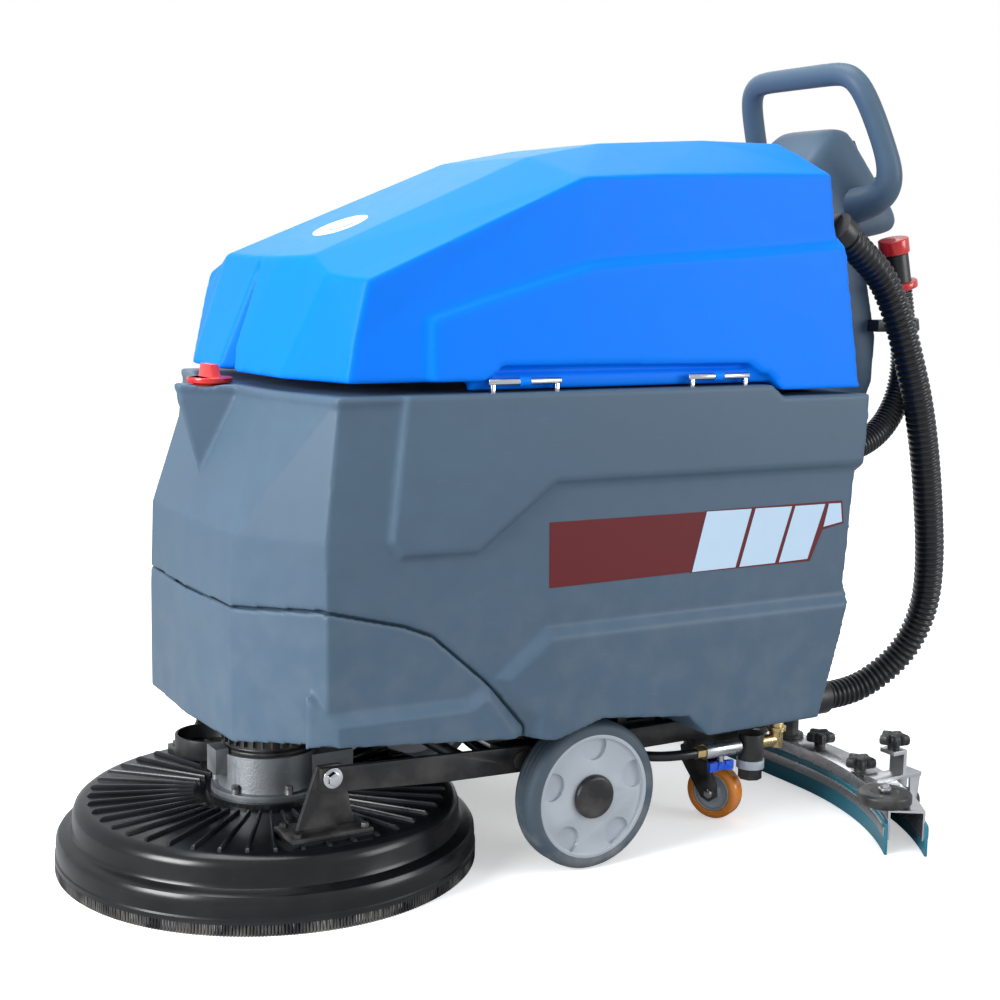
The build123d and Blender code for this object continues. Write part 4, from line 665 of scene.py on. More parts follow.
class SCRUBBER_OT_finishes(bpy.types.Operator):
    """Make the shared shader groups and every material"""
    bl_idname = "scrubber.finishes"
    bl_label = "Finishes"

    def execute(self, context):
        tint = context.scene.scrubber_colours
        surface_group()
        wear_group()
        dust_group()
        finish("grey_moulding", tint.grey, 0.42, tone=0.09, spread=0.16, grain=1400,
               bump=0.10, worn=(0.20, 0.25, 0.30), scratches=0.18, edges=0.25, dust=0.10,
               dust_top=0.5, specular=0.22)
        finish("blue_moulding", tint.blue, 0.44, tone=0.05, spread=0.10, grain=1100,
               bump=0.06, worn=(0.05, 0.30, 0.95), scratches=0.08, edges=0.15, specular=0.10)
        finish("black_plastic", (0.008, 0.0085, 0.010), 0.38, tone=0.25, grain=1500, bump=0.14,
               worn=(0.07, 0.07, 0.075), scratches=0.4, edges=0.5, dust=0.22, dust_top=0.2)
        finish("deck_black", (0.0045, 0.005, 0.006), 0.24, tone=0.2, spread=0.12, grain=1200,
               bump=0.05, worn=(0.03, 0.036, 0.045), scratches=0.25, edges=0.4, dust=0.012,
               dust_top=0.14, coat=0.05, specular=0.36)
        finish("powder_black", (0.008, 0.008, 0.009), 0.36, tone=0.2, grain=700, bump=0.22,
               worn=(0.16, 0.155, 0.15), scratches=0.3, edges=0.55, dust=0.22, dust_top=0.25)
        finish("cast_alloy", (0.27, 0.29, 0.31), 0.50, metallic=0.9, tone=0.28, spread=0.3,
               grain=420, bump=0.55, worn=(0.72, 0.74, 0.75), scratches=0.3, edges=0.7)
        finish("zinc_plate", (0.56, 0.58, 0.60), 0.32, metallic=1.0, tone=0.16, spread=0.25,
               grain=260, bump=0.10, worn=(0.38, 0.38, 0.38), scratches=0.6, edges=0.3)
        finish("bright_chrome", (0.66, 0.68, 0.70), 0.16, metallic=1.0, tone=0.05, spread=0.1,
               grain=300, bump=0.03, worn=(0.5, 0.5, 0.5), scratches=0.4, edges=0.1)
        finish("silver_paint", (0.46, 0.51, 0.56), 0.32, metallic=0.25, tone=0.10, spread=0.15,
               grain=1300, bump=0.08, worn=(0.30, 0.31, 0.32), scratches=0.3, edges=0.2,
               dust=0.15, dust_top=0.2, coat=0.2)
        finish("tyre_rubber", tint.tyre, 0.62, tone=0.14, spread=0.2, grain=800,
               bump=0.30, worn=(0.13, 0.16, 0.19), scratches=0.5, edges=0.5, dust=0.35,
               dust_top=0.2)
        finish("caster_poly", tint.caster, 0.25, tone=0.14, grain=500, bump=0.05,
               worn=(0.45, 0.13, 0.02), scratches=0.4, edges=0.3, dust=0.25, dust_top=0.08,
               coat=0.4, subsurface=0.15)
        finish("black_rubber", (0.008, 0.008, 0.009), 0.42, tone=0.2, grain=900, bump=0.18,
               worn=(0.055, 0.055, 0.055), scratches=0.3, edges=0.4, dust=0.25, dust_top=0.3)
        finish("hose_rubber", (0.007, 0.0072, 0.009), 0.30, tone=0.2, grain=900, bump=0.10,
               worn=(0.05, 0.05, 0.052), scratches=0.2, edges=0.45, coat=0.1)
        finish("blade_rubber", tint.blade, 0.30, tone=0.12, grain=600, bump=0.06,
               worn=(0.02, 0.25, 0.33), scratches=0.3, edges=0.4, coat=0.3, subsurface=0.1)
        finish("cast_brass", (0.62, 0.47, 0.22), 0.30, metallic=1.0, tone=0.25, spread=0.3,
               grain=520, bump=0.25, worn=(0.30, 0.20, 0.10), scratches=0.5, edges=0.3)
        finish("steel_bright", (0.60, 0.61, 0.62), 0.26, metallic=1.0, tone=0.12, spread=0.2,
               grain=300, bump=0.06, worn=(0.35, 0.35, 0.35), scratches=0.5, edges=0.2)
        finish("red_gloss", tint.red, 0.25, tone=0.12, grain=1000, bump=0.06,
               worn=(0.70, 0.12, 0.10), scratches=0.3, edges=0.4, coat=0.4)
        finish("blue_gloss", (0.006, 0.09, 0.72), 0.25, tone=0.10, grain=1000, bump=0.05,
               worn=(0.1, 0.25, 0.8), scratches=0.3, edges=0.3, coat=0.4)
        finish("bristle_nylon", (0.012, 0.012, 0.014), 0.5, tone=0.4, grain=900, bump=0.1,
               dust=0.4, dust_top=0.03)
        finish("brush_nylon", (0.02, 0.05, 0.12), 0.5, tone=0.35, grain=900, bump=0.1,
               dust=0.3, dust_top=0.03)
        finish("battery_case", (0.03, 0.03, 0.035), 0.5, tone=0.2, grain=1200, bump=0.2)
        finish("lead_post", (0.35, 0.35, 0.36), 0.5, metallic=0.9, tone=0.25, grain=600, bump=0.3)
        finish("channel_alloy", (0.70, 0.71, 0.73), 0.27, metallic=1.0, tone=0.10, spread=0.25,
               grain=240, bump=0.08, worn=(0.45, 0.45, 0.46), scratches=0.7, edges=0.2,
               dust=0.15, dust_top=0.07)
        finish("stripe_film", tint.stripe, 0.45, tone=0.06, grain=1300, bump=0.05,
               specular=0.2)
        finish("block_film", tint.blocks, 0.40, tone=0.03, grain=1300, bump=0.04,
               specular=0.2)
        finish("badge_film", (0.82, 0.84, 0.86), 0.22, tone=0.02, grain=1300, bump=0.02,
               coat=0.5)
        finish("badge_ring", (0.02, 0.10, 0.40), 0.25, tone=0.05, grain=1300, bump=0.02,
               coat=0.5)
        finish("lamp_green", (0.02, 0.45, 0.08), 0.2, tone=0.05, grain=1000, bump=0.02, coat=0.5)
        return {"FINISHED"}


# ------------------------------------------------------------------ grey body

NOSE = -474.0
CORNER = -400.0
BODY_LEVELS = [
    (165, half_plan((NOSE - 5, 0), (NOSE + 3, 153), (CORNER, 273), (342, 273))),
    (350, half_plan((NOSE - 4, 0), (NOSE + 2, 148), (CORNER, 271), (398, 271))),
    (465, half_plan((NOSE, 0), (NOSE + 6, 148), (CORNER, 268), (410, 268))),
    (636, half_plan((NOSE + 55, 0), (NOSE + 61, 142), (CORNER + 19, 262), (425, 262))),
]
GAP_LINE = [(-540, 388), (-474, 377), (-402, 388), (-297, 361), (-260, 346), (-185, 281),
            (-128, 216)]
ARCH_LINE = [(-128, 200), (-86, 192), (-15, 212), (125, 196), (158, 165)]
UPPER_PANEL = [(-286, 700), (-323, 462), (-306, 440), (-199, 438), (-87, 520), (460, 517),
               (460, 700)]
LOWER_PANEL = [(-181, 283), (-101, 343), (460, 341), (460, 120), (-128, 120), (-128, 216)]
SKIRT_PANEL = [(-409, 269), (-215, 266), (-181, 283), (-128, 216), (-128, 120), (-409, 120)]
PANEL_PROUD = 8.5
PANEL_BASE_Y = -268.0
PANEL_SLOPE = 0.9
LEDGE_PROUD = 10.0
LEDGE_SLOPE = 1.3
HINGE_SPANS = ((-184.0, -80.0), (118.0, 218.0))
HINGE = (-262.0, 649.0)


def sloped_prism(outline, base, proud, slope=PANEL_SLOPE):
    """A prism along Y whose sides lean in as it leaves the flank."""
    area = sum(a[0] * b[1] - b[0] * a[1] for a, b in zip(outline, outline[1:] + outline[:1]))
    loop = outline if area > 0 else outline[::-1]
    rings = []
    for y in (base + 14, base - proud - 10):
        shift = (y - base) * slope
        rings.append([(x, y, z) for x, z in grown(loop, shift)])
    return stack("field", rings)


def flank_panel(outline, profile, proud=PANEL_PROUD, slope=PANEL_SLOPE):
    field = combine(plan_stack(BODY_LEVELS, proud),
                    sloped_prism(outline, PANEL_BASE_Y, proud, slope), "INTERSECT")
    return combine(field, across(profile, 345), "INTERSECT")


def raise_fields(base, field):
    """Join a field to both flanks."""
    twin = new_object("copy", field.data.copy())
    twin.data.transform(Matrix.Scale(-1, 4, (0, 1, 0)))
    twin.data.flip_normals()
    combine(base, field, "UNION")
    combine(base, twin, "UNION")


FILLER_AXIS = (-440, 0)
FILLER_BORE_R = 22
FILLER_SEAT_R = 33
ABOVE_BODY = 700
BODY_TRIANGLES = 185000


class SCRUBBER_OT_body(bpy.types.Operator):
    """Grey solution tank and front skirt, soft-edged, with their proud fields and the spout"""
    bl_idname = "scrubber.body"
    bl_label = "Solution tank and skirt"

    def execute(self, context):
        size = context.scene.scrubber_sizes
        profile = GAP_LINE + ARCH_LINE + [(460, 165), (460, 620), (276, 620), (255, 636),
                                          (-540, 636)]
        body = combine(plan_stack(BODY_LEVELS, 0), across(profile), "INTERSECT")
        for outline, proud, slope in ((UPPER_PANEL, PANEL_PROUD, PANEL_SLOPE),
                                      (LOWER_PANEL, LEDGE_PROUD, LEDGE_SLOPE)):
            raise_fields(body, flank_panel(outline, profile, proud, slope))
        lip = [(-540, 636), (-540, 628), (251, 628), (272, 612), (460, 612), (460, 620),
               (276, 620), (255, 636)]
        combine(body, combine(plan_stack(BODY_LEVELS, 3.2), across(lip),
                              "INTERSECT"), "UNION")
        rim = [(-482, -7), (-411, -50), (-411, 50), (-482, 7)]
        brim = [(-484.5, -9), (-411, -54), (-411, 54), (-484.5, 9)]
        spout = stack("spout", [[(-457, -2, 524), (-428, -6, 524), (-428, 6, 524), (-457, 2, 524)],
                                [(x, y, 617) for x, y in rim], [(x, y, 627) for x, y in rim],
                                [(x, y, 628.5) for x, y in brim], [(x, y, 636) for x, y in brim]])
        combine(body, spout, "UNION")
        band = [(x, z + 8) for x, z in GAP_LINE] + [(x, z - 18) for x, z in reversed(GAP_LINE)]
        tongue = combine(combine(plan_stack(BODY_LEVELS, -10), across(band),
                                 "INTERSECT"), plan_stack(BODY_LEVELS, -24), "DIFFERENCE")
        combine(body, tongue, "UNION")
        combine(body, block((-40, 372), (-212, 212), (236, 700)), "DIFFERENCE")
        combine(body, drum(FILLER_AXIS, FILLER_BORE_R, 618, ABOVE_BODY), "DIFFERENCE")
        combine(body, drum(FILLER_AXIS, FILLER_SEAT_R, 633.5, ABOVE_BODY), "DIFFERENCE")
        moulded(body, size.body_voxel, 3, limit=BODY_TRIANGLES)
        whole_shell(body, "solution_tank_shell", "grey_moulding", "chassis", "solution_tank")

        low = [(x - 1.2, z - 3) for x, z in GAP_LINE]
        skirt_cut = low + [(-131, 201), (-402, 226), (-474, 208), (-540, 208)]
        skirt = combine(plan_stack(BODY_LEVELS, 0), across(skirt_cut), "INTERSECT")
        raise_fields(skirt, flank_panel(SKIRT_PANEL, skirt_cut, LEDGE_PROUD, LEDGE_SLOPE))
        combine(skirt, plan_stack(BODY_LEVELS, -7), "DIFFERENCE")
        moulded(skirt, size.fine_voxel, 4)
        whole_shell(skirt, "front_skirt_shell", "grey_moulding", "chassis", "front_skirt")
        return {"FINISHED"}


# ------------------------------------------------------------------ blue tank

TANK_STATIONS = [(-480, 146, 748, 262, 712), (-45, 116, 930, 250, 899), (70, 116, 953, 246, 907),
                 (237, 122, 965, 244, 915), (430, 145, 966, 240, 922)]
TANK_LEVELS = [
    (623, half_plan((-428, 0), (-418, 151), (-374, 259), (408, 259))),
    (990, half_plan((-302, 0), (-299, 127), (-296, 259), (358.5, 259))),
]
TANK_UNDER = [(-540, 650), (255, 650), (276, 628), (500, 628), (500, 1050), (-540, 1050)]
TANK_PANEL = [(-270, 731), (-192, 755), (-34, 798), (500, 832), (500, 600), (-273, 600)]


def tank_envelope(by):
    rings = []
    for x, ridge_y, ridge_z, side_y, side_z in TANK_STATIONS:
        half = [(x, -258 - by, 618), (x, -side_y - by, side_z + by / 2),
                (x, -ridge_y - by / 2, ridge_z + by)]
        rings.append(half + [(a, -b, c) for a, b, c in reversed(half)])
    solid = combine(stack("tank", rings), plan_stack(TANK_LEVELS, by), "INTERSECT")
    return combine(solid, across(TANK_UNDER, 330), "INTERSECT")


class SCRUBBER_OT_tank(bpy.types.Operator):
    """Blue recovery tank with its vee groove, shoulder lines and hinge sleeves"""
    bl_idname = "scrubber.tank"
    bl_label = "Recovery tank"

    def execute(self, context):
        size = context.scene.scrubber_sizes
        tank = tank_envelope(0)
        raise_fields(tank, combine(tank_envelope(PANEL_PROUD),
                                   sloped_prism(TANK_PANEL, -250, PANEL_PROUD), "INTERSECT"))
        groove = stack("groove", [[(-470, -74, 620), (-470, 74, 620), (-375, 3, 620),
                                   (-375, -3, 620)],
                                  [(-470, -12, 797), (-470, 12, 797), (-366, 2, 797),
                                   (-366, -2, 797)]])
        combine(tank, groove, "DIFFERENCE")
        notch = [(-204, 640), (-162, 668), (219, 665), (262, 640), (262, 600), (-204, 600)]
        combine(tank, prism_y(notch, -320, HINGE[0] + 14), "DIFFERENCE")
        combine(tank, block((-205, 262), (-253, -243), (638.5, 656)), "UNION")
        moulded(tank, size.tank_voxel, 7)
        whole_shell(tank, "recovery_tank_shell", "blue_moulding", "tank", "recovery_tank")
        for number, (low, high) in enumerate(HINGE_SPANS):
            middle = (low + high) / 2
            profile = smooth_outline([(4.1, -7), (5.8, -7), (5.8, 7), (4.1, 7)], 1.0)
            sleeve = lathe(f"hinge_sleeve_{number + 1}", profile, (middle, *HINGE), (1, 0, 0),
                           "blue_moulding", sides=32)
            settle(sleeve, "tank", "blue_moulding")
        ring = smooth_outline([(24, 0), (32, 0), (32, 62), (24, 62)], 2.5)
        collar = lathe("vacuum_collar", ring, (366, 0, 862), (1, 0, 0),
                       "black_rubber", sides=48)
        settle(collar, "tank", "blue_moulding")
        return {"FINISHED"}


# ------------------------------------------------------------------ films

FACET = 9.0


def draped_film(name, outlines, target, finishes, mirror=False, thickness=0.35, down=False):
    """Thin films laid on a shell: each outline is cut into small facets and dropped on it."""
    bm = bmesh.new()
    bm.from_mesh(target.data)
    tree = BVHTree.FromBMesh(bm)
    bm.free()
    film = bmesh.new()
    for number, outline in enumerate(outlines):
        loop = [film.verts.new((a, b, 0)) for a, b in outline]
        film.faces.new(loop).material_index = number
        film.faces.ensure_lookup_table()
    values = [p for outline in outlines for p in outline]
    for axis in (0, 1):
        low = min(v[axis] for v in values)
        high = max(v[axis] for v in values)
        step = low + FACET
        while step < high:
            normal = (1, 0, 0) if axis == 0 else (0, 1, 0)
            bmesh.ops.bisect_plane(film, geom=film.verts[:] + film.edges[:] + film.faces[:],
                                   plane_co=(step, step, 0), plane_no=normal)
            step += FACET
    for vert in film.verts:
        a, b = vert.co.x, vert.co.y
        if down:
            start, way = Vector((a, b, 1200)) * MM, Vector((0, 0, -1))
        else:
            start, way = Vector((a, -400, b)) * MM, Vector((0, 1, 0))
        hit, normal, _, _ = tree.ray_cast(start, way)
        if hit is None:
            raise RuntimeError(f"{name} misses its shell at {a:.0f}, {b:.0f}")
        vert.co = hit - way * thickness * MM
    bmesh.ops.solidify(film, geom=film.faces[:], thickness=0.5 * MM)
    if mirror:
        bmesh.ops.transform(film, matrix=Matrix.Scale(-1, 4, (0, 1, 0)), verts=film.verts)
    obj = from_bmesh(name, film, finishes)
    return shade(obj, 40)


BAR = [(-95, 389), (126, 391), (149, 470), (-95, 472)]
SLANTS = [[(152, 470), (129, 391), (202, 391.5), (228, 469)],
          [(235, 469), (209, 391.5), (271, 392), (299, 468)],
          [(305, 468), (278, 392), (329, 393), (359, 467.5)],
          [(366, 467.5), (357, 436), (391, 441), (388, 467)]]
BORDER = [(126, 390), (334, 389.5), (356, 432), (394.5, 438.5), (391, 470.5), (149, 471)]


FILM_LAYERS = (("bar", [BAR], "stripe_film", 0.35), ("border", [BORDER], "stripe_film", 0.3),
               ("block", SLANTS, "block_film", 0.75))
BADGE_CENTRE = (-268, -20)
BADGE_LAYERS = (("rim", (33, 46), "badge_film", 0.35), ("field", (16, 27), "badge_ring", 0.8))


class SCRUBBER_OT_films(bpy.types.Operator):
    """Plain colour bars on both flanks and a blank oval badge on the tank's front slope"""
    bl_idname = "scrubber.films"
    bl_label = "Films and badge"

    def execute(self, context):
        shell = bpy.data.objects["solution_tank_shell"]
        for side, hand in HANDS:
            for part, outlines, name, thickness in FILM_LAYERS:
                film = draped_film(f"{hand}_{part}_film", outlines, shell,
                                   [FINISHES[name]] * len(outlines), side > 0, thickness)
                settle(film, "chassis", "grey_moulding")
        tank = bpy.data.objects["recovery_tank_shell"]
        x, y = BADGE_CENTRE
        for part, (a, b), name, thickness in BADGE_LAYERS:
            oval = [(x + a * math.cos(t * math.pi / 20), y + b * math.sin(t * math.pi / 20))
                    for t in range(40)]
            film = draped_film("badge_" + part, [oval], tank, [FINISHES[name]],
                               thickness=thickness, down=True)
            settle(film, "tank", "blue_moulding")
        return {"FINISHED"}


# ------------------------------------------------------------------ brush deck

DECK_X = -362.5
RIB_MIDDLE_R = 168
FRINGE_ROWS = (276.8, 273.9)
BRUSH_OUTER_R = 243
BRUSH_ROW_STEP = 15.5


def spokes(count, radius, height, phase=0.0):
    """(place, turn) pairs spaced evenly round the deck's axis."""
    angles = [2 * math.pi * (k + phase) / count for k in range(count)]
    return [((DECK_X + radius * math.cos(a), radius * math.sin(a), height), (0, 0, a))
            for a in angles]


class SCRUBBER_OT_deck(bpy.types.Operator):
    """Stepped round deck with radial ribs, its bristle fringe, the brush and the drive"""
    bl_idname = "scrubber.deck"
    bl_label = "Brush deck"

    def execute(self, context):
        size = context.scene.scrubber_sizes
        black = FINISHES["deck_black"]
        outline = [(17, 94.2), (82, 94.2), (83, 88.2), (238, 88.6), (246, 86.5), (252.5, 81),
                   (255.4, 73), (256.2, 56), (258.5, 51.5), (262, 49.6), (268, 49.2),
                   (273.5, 46.8), (276.4, 42), (277.2, 34), (277.2, 22), (278.6, 20),
                   (278.6, 14.2), (271, 14.2), (270.5, 42.5), (247, 44), (241.5, 50),
                   (241, 81.8), (17, 81.8)]
        cover = lathe("deck_cover_shell", outline, (DECK_X, 0, 0), (0, 0, 1), "deck_black",
                      sides=160)
        for side, _ in HANDS:
            foot = block((DECK_X - 62, DECK_X + 46), sorted((side * 166, side * 226)), (87, 93.6))
            combine(cover, foot, "UNION")
        cover.data.materials.clear()
        cover.data.materials.append(black)
        shade(cover, 32)
        settle(cover, "deck", "deck_black", "deck_cover")
        rib = stack("rib", [
            [(-70, -2.3, -1.5), (70, -2.6, -1.5), (70, 2.6, -1.5), (-70, 2.3, -1.5)],
            [(-69, -1.9, 3.2), (67, -2.2, 3.2), (67, 2.2, 3.2), (-69, 1.9, 3.2)],
            [(-67.6, -0.8, 4.9), (63, -1.1, 4.9), (63, 1.1, 4.9), (-67.6, 0.8, 4.9)]])
        ribs = repeated("deck_ribs", spokes(size.deck_ribs, RIB_MIDDLE_R, 88.4, 0.5), rib, black)
        settle(ribs, "deck", "deck_black")

        tuft = round_unit("tuft", [(1.5, 14.1), (1.55, 6), (1.8, 0)], 5)
        points = []
        for row, radius in enumerate(FRINGE_ROWS):
            points += spokes(size.skirt_tufts, radius, 0.15, row / 2)
        fringe = repeated("deck_fringe", points, tuft, FINISHES["bristle_nylon"], 0.02, 0.05, 3)
        settle(fringe, "deck", "bristle", "deck_skirt")

        bunch = round_unit("bunch", [(1.9, 30), (2.0, 12), (2.7, 0)], 6)
        points = []
        for row in range(9):
            radius = BRUSH_OUTER_R - row * BRUSH_ROW_STEP
            count = int(size.brush_tufts * radius / BRUSH_OUTER_R)
            points += spokes(count, radius, 0.2, 0.5 * (row % 2))
        brush = repeated("brush_tufts", points, bunch, FINISHES["brush_nylon"], 0.03, 0.05, 11)
        settle(brush, "brush", "bristle", "brush_bristles")

        powder = FINISHES["powder_black"]
        dressed("brush_plate", "black_plastic", "black_plastic", 0.0012)
        dressed("gear_housing", "cast_alloy", "cast_alloy", 0.0022, 3)
        dressed("brush_motor", "black_steel", "powder_black", 0.0025, 3)
        dressed("water_cup", "black_plastic", "black_plastic", 0.0012)

        def bolt_or_plate(centre, number):
            return 1 if centre.z > 140 and abs(centre.y) > 204.2 else 0

        dressed("deck_brackets", "black_steel", ("powder_black", "bright_chrome"), size.edge,
                pick=bolt_or_plate)
        hexagon = round_unit("hex", [(5.2, 0), (5.2, 4.2), (4.6, 5)], 6)
        points = [(place, (0, 0, k)) for k, (place, _) in enumerate(spokes(6, 70, 108, 0.5))]
        for side, _ in HANDS:
            for x in (DECK_X - 52, DECK_X + 38):
                for y in (174, 218):
                    points.append(((x, side * y, 99.2), (0, 0, 0.4 * x)))
        bolts = repeated("deck_bolts", points, hexagon, powder)
        settle(bolts, "deck", "zinc_steel")
        fin = stack("fin", [[(-2, -1, 0), (6, -1, 0), (6, 1, 0), (-2, 1, 0)],
                            [(-2, -0.8, 118), (5.4, -0.8, 118), (5.4, 0.8, 118), (-2, 0.8, 118)]])
        fins = repeated("motor_fins", spokes(30, 56, 162), fin, powder)
        settle(fins, "deck", "black_steel")
        return {"FINISHED"}


# ------------------------------------------------------------------ chassis and wheels

class SCRUBBER_OT_chassis(bpy.types.Operator):
    """Frame, lift arms, pedal, axle, batteries and hinge rods"""
    bl_idname = "scrubber.chassis"
    bl_label = "Chassis"

    def execute(self, context):
        size = context.scene.scrubber_sizes
        dressed("chassis_frame", "black_steel", "powder_black", size.edge)
        dressed("lift_arms", "black_steel", "powder_black", size.edge)
        dressed("deck_pedal", "black_steel", ("powder_black", "black_rubber"), size.edge,
                pick=lambda c, n: 1 if c.z > 156.5 else 0)
        dressed("axle", "zinc_steel", "zinc_plate", size.edge)
        dressed("hinge_rods", "chrome_steel", "bright_chrome", 0.0006)
        dressed("battery_pack", "battery_case", ("battery_case", "lead_post"),
                0.003, 3, pick=lambda c, n: 1 if c.z > 457 else 0)
        dressed("float_cage", "black_plastic", "black_plastic", 0.0006)
        return {"FINISHED"}


class SCRUBBER_OT_wheels(bpy.types.Operator):
    """Drive wheels with scalloped silver hubs and domed caps, and the orange casters"""
    bl_idname = "scrubber.wheels"
    bl_label = "Wheels and casters"

    def execute(self, context):
        size = context.scene.scrubber_sizes
        for side, hand in HANDS:
            outline = [(83.5, 1.0), (88, 0.4), (92.5, 1.2), (96.6, 4.4), (99.2, 9.5)]
            for groove in (15.5, 24, 32.5):
                outline += [(99.9, groove - 1.6), (98.9, groove - 0.8), (98.9, groove + 0.8),
                            (99.9, groove + 1.6)]
            outline += [(99.2, 38.5), (96.6, 43.6), (92.5, 46.8), (88, 47.6), (83.5, 47)]
            tyre = lathe(hand + "_tyre_ring", outline, (-11, side * 262, 100), (0, -side, 0),
                         "tyre_rubber", sides=128)
            settle(tyre, hand + "_wheel", "grey_tyre", hand + "_tyre")
            dressed(hand + "_hub", "silver_plastic",
                    ("silver_paint", "black_plastic"), 0.0021, 3,
                    pick=lambda c, n: n)
            dressed(hand + "_caster_wheel", "orange_tyre",
                    ("caster_poly", "silver_paint"), 0.0012,
                    pick=lambda c, n: n)

            def bolt_end(centre, number, side=side):
                rest = math.radians(-64 if side < 0 else 22)
                x = centre.x - 250
                y = centre.y - side * 147
                across = -x * math.sin(rest) + y * math.cos(rest)
                return 1 if abs(across) > 19.3 and centre.z < 60 else 0

            dressed(hand + "_caster_fork", "black_steel",
                    ("powder_black", "bright_chrome"), size.edge,
                    pick=bolt_end)
        return {"FINISHED"}


# ------------------------------------------------------------------ squeegee

def star_knob(name, centre, radius, height, body):
    """Five-lobed clamping knob with a dished top and a short skirt."""
    x, y, z = centre
    levels = [(0.40, 0), (0.42, 5), (0.86, 7), (0.97, 9.5), (1.0, height * 0.6 + 4),
              (0.95, height + 3), (0.82, height + 5.2), (0.5, height + 5.8), (0.3, height + 5)]
    rings = []
    for share, up in levels:
        ring = []
        for k in range(60):
            angle = 2 * math.pi * k / 60
            lobe = 0.78 + 0.22 * math.cos(5 * angle) ** 3
            if share < 0.45:
                lobe = 0.9
            reach = radius * share * lobe
            ring.append((x + reach * math.cos(angle + 0.35), y + reach * math.sin(angle + 0.35),
                         z + up))
        rings.append(ring)
    obj = stack(name + "_star", rings)
    obj.data.materials.append(FINISHES["black_plastic"])
    shade(obj, 50)
    return settle(obj, body, "black_plastic", name)


class SCRUBBER_OT_squeegee(bpy.types.Operator):
    """Curved alloy channel, teal blades, star knobs, bumper rollers and suction port"""
    bl_idname = "scrubber.squeegee"
    bl_label = "Squeegee"

    def execute(self, context):
        size = context.scene.scrubber_sizes

        def zinc_or_channel(centre, number):
            return 1 if centre.z > 63 or (abs(abs(centre.y) - 296) < 16 and centre.x > 508) else 0

        dressed("squeegee_frame", "alu_channel",
                ("channel_alloy", "zinc_plate"), size.edge,
                pick=zinc_or_channel)
        dressed("squeegee_blades", "teal_rubber", "blade_rubber", 0.0005)
        dressed("blade_straps", "zinc_steel", "steel_bright", 0.0003)
        dressed("squeegee_port", "black_plastic", "black_plastic", 0.002, 3)
        dressed("squeegee_boom", "black_steel", "powder_black", 0.0015)
        for side, hand in HANDS:
            for node, place in (("arm", (497, 130, 62.5)), ("frame", (462, 256, 62.5)),
                                ("height", (487, 296, 104.5))):
                name = f"{hand}_{node}_knob"
                x, y, z = place
                star_knob(name, (x, side * y, z), 23.5, 17, name + "_body")
            outline = smooth_outline([(5.3, 0), (34, 0), (37.4, 3), (37.4, 14.4), (34, 17.4),
                                      (20, 17.4), (17, 15.4), (8, 15.4), (5.3, 15.4)], 2.2)
            roller = lathe(hand + "_bumper_disc", outline, (391, side * 380, 63.1), (0, 0, 1),
                           "black_rubber", sides=80)
            settle(roller, hand + "_bumper_roller_body", "black_rubber",
                   hand + "_bumper_roller")
            dressed(hand + "_support_wheel", "black_rubber", "black_rubber", 0.0008)
        screw = round_unit("screw", [(3.6, 0), (3.6, 1.6), (2.6, 2.6)], 12)
        points = []
        for side in (-1, 1):
            for k in range(9):
                angle = math.radians(4 + k * 3.6)
                reach = 500 + 56.2
                points.append(((-35 + reach * math.cos(angle),
                                side * (120 + reach * math.sin(angle)), 31),
                               facing((math.cos(angle), side * math.sin(angle), 0))))
        for y in (-90, -45, 0, 45, 90):
            points.append(((521.2, y, 31), facing((1, 0, 0))))
        screws = repeated("strap_screws", points, screw, FINISHES["bright_chrome"])
        settle(screws, "squeegee", "chrome_steel")
        nut = round_unit("nut", [(6.2, 0), (6.2, 4), (5.2, 5.4)], 6)
        points = [((391, side * 380, 85), (0, 0, 0.3)) for side in (-1, 1)]
        points += [((440, 0, 98), (0, 0, 0))]
        nuts = repeated("squeegee_nuts", points, nut, FINISHES["bright_chrome"])
        settle(nuts, "squeegee", "chrome_steel")
        return {"FINISHED"}


# ------------------------------------------------------------------ column, console, handle

GRIP_HALF = [(545, 84, 885), (556, 104, 888), (566, 128, 897), (569, 143, 914), (566, 147, 938),
             (557, 145, 965), (547, 141, 992), (537, 136, 1018), (527, 130, 1042),
             (519, 121, 1062), (514, 104, 1075), (512, 80, 1078), (512, 40, 1078)]


GRIP_R = 0.0168
CONSOLE_VOXEL = 0.0042
GRIP_FLARE = (1.7, 1.55, 1.35, 1.22, 1.10)


def smooth_line(name, points, order, resolution, radii=None, **settings):
    """The mesh of a smooth curve along points in millimetres; settings go to the curve."""
    curve = bpy.data.curves.new(name, "CURVE")
    curve.dimensions = "3D"
    spline = curve.splines.new("NURBS")
    spline.points.add(len(points) - 1)
    for number, (point, (x, y, z)) in enumerate(zip(spline.points, points)):
        point.co = (x * MM, y * MM, z * MM, 1)
        if radii:
            point.radius = radii[number]
    spline.order_u = order
    spline.use_endpoint_u = True
    curve.resolution_u = resolution
    for key, value in settings.items():
        setattr(curve, key, value)
    holder = new_object(name, curve)
    graph = bpy.context.evaluated_depsgraph_get()
    mesh = bpy.data.meshes.new_from_object(holder.evaluated_get(graph))
    bpy.data.objects.remove(holder)
    bpy.data.curves.remove(curve)
    return mesh


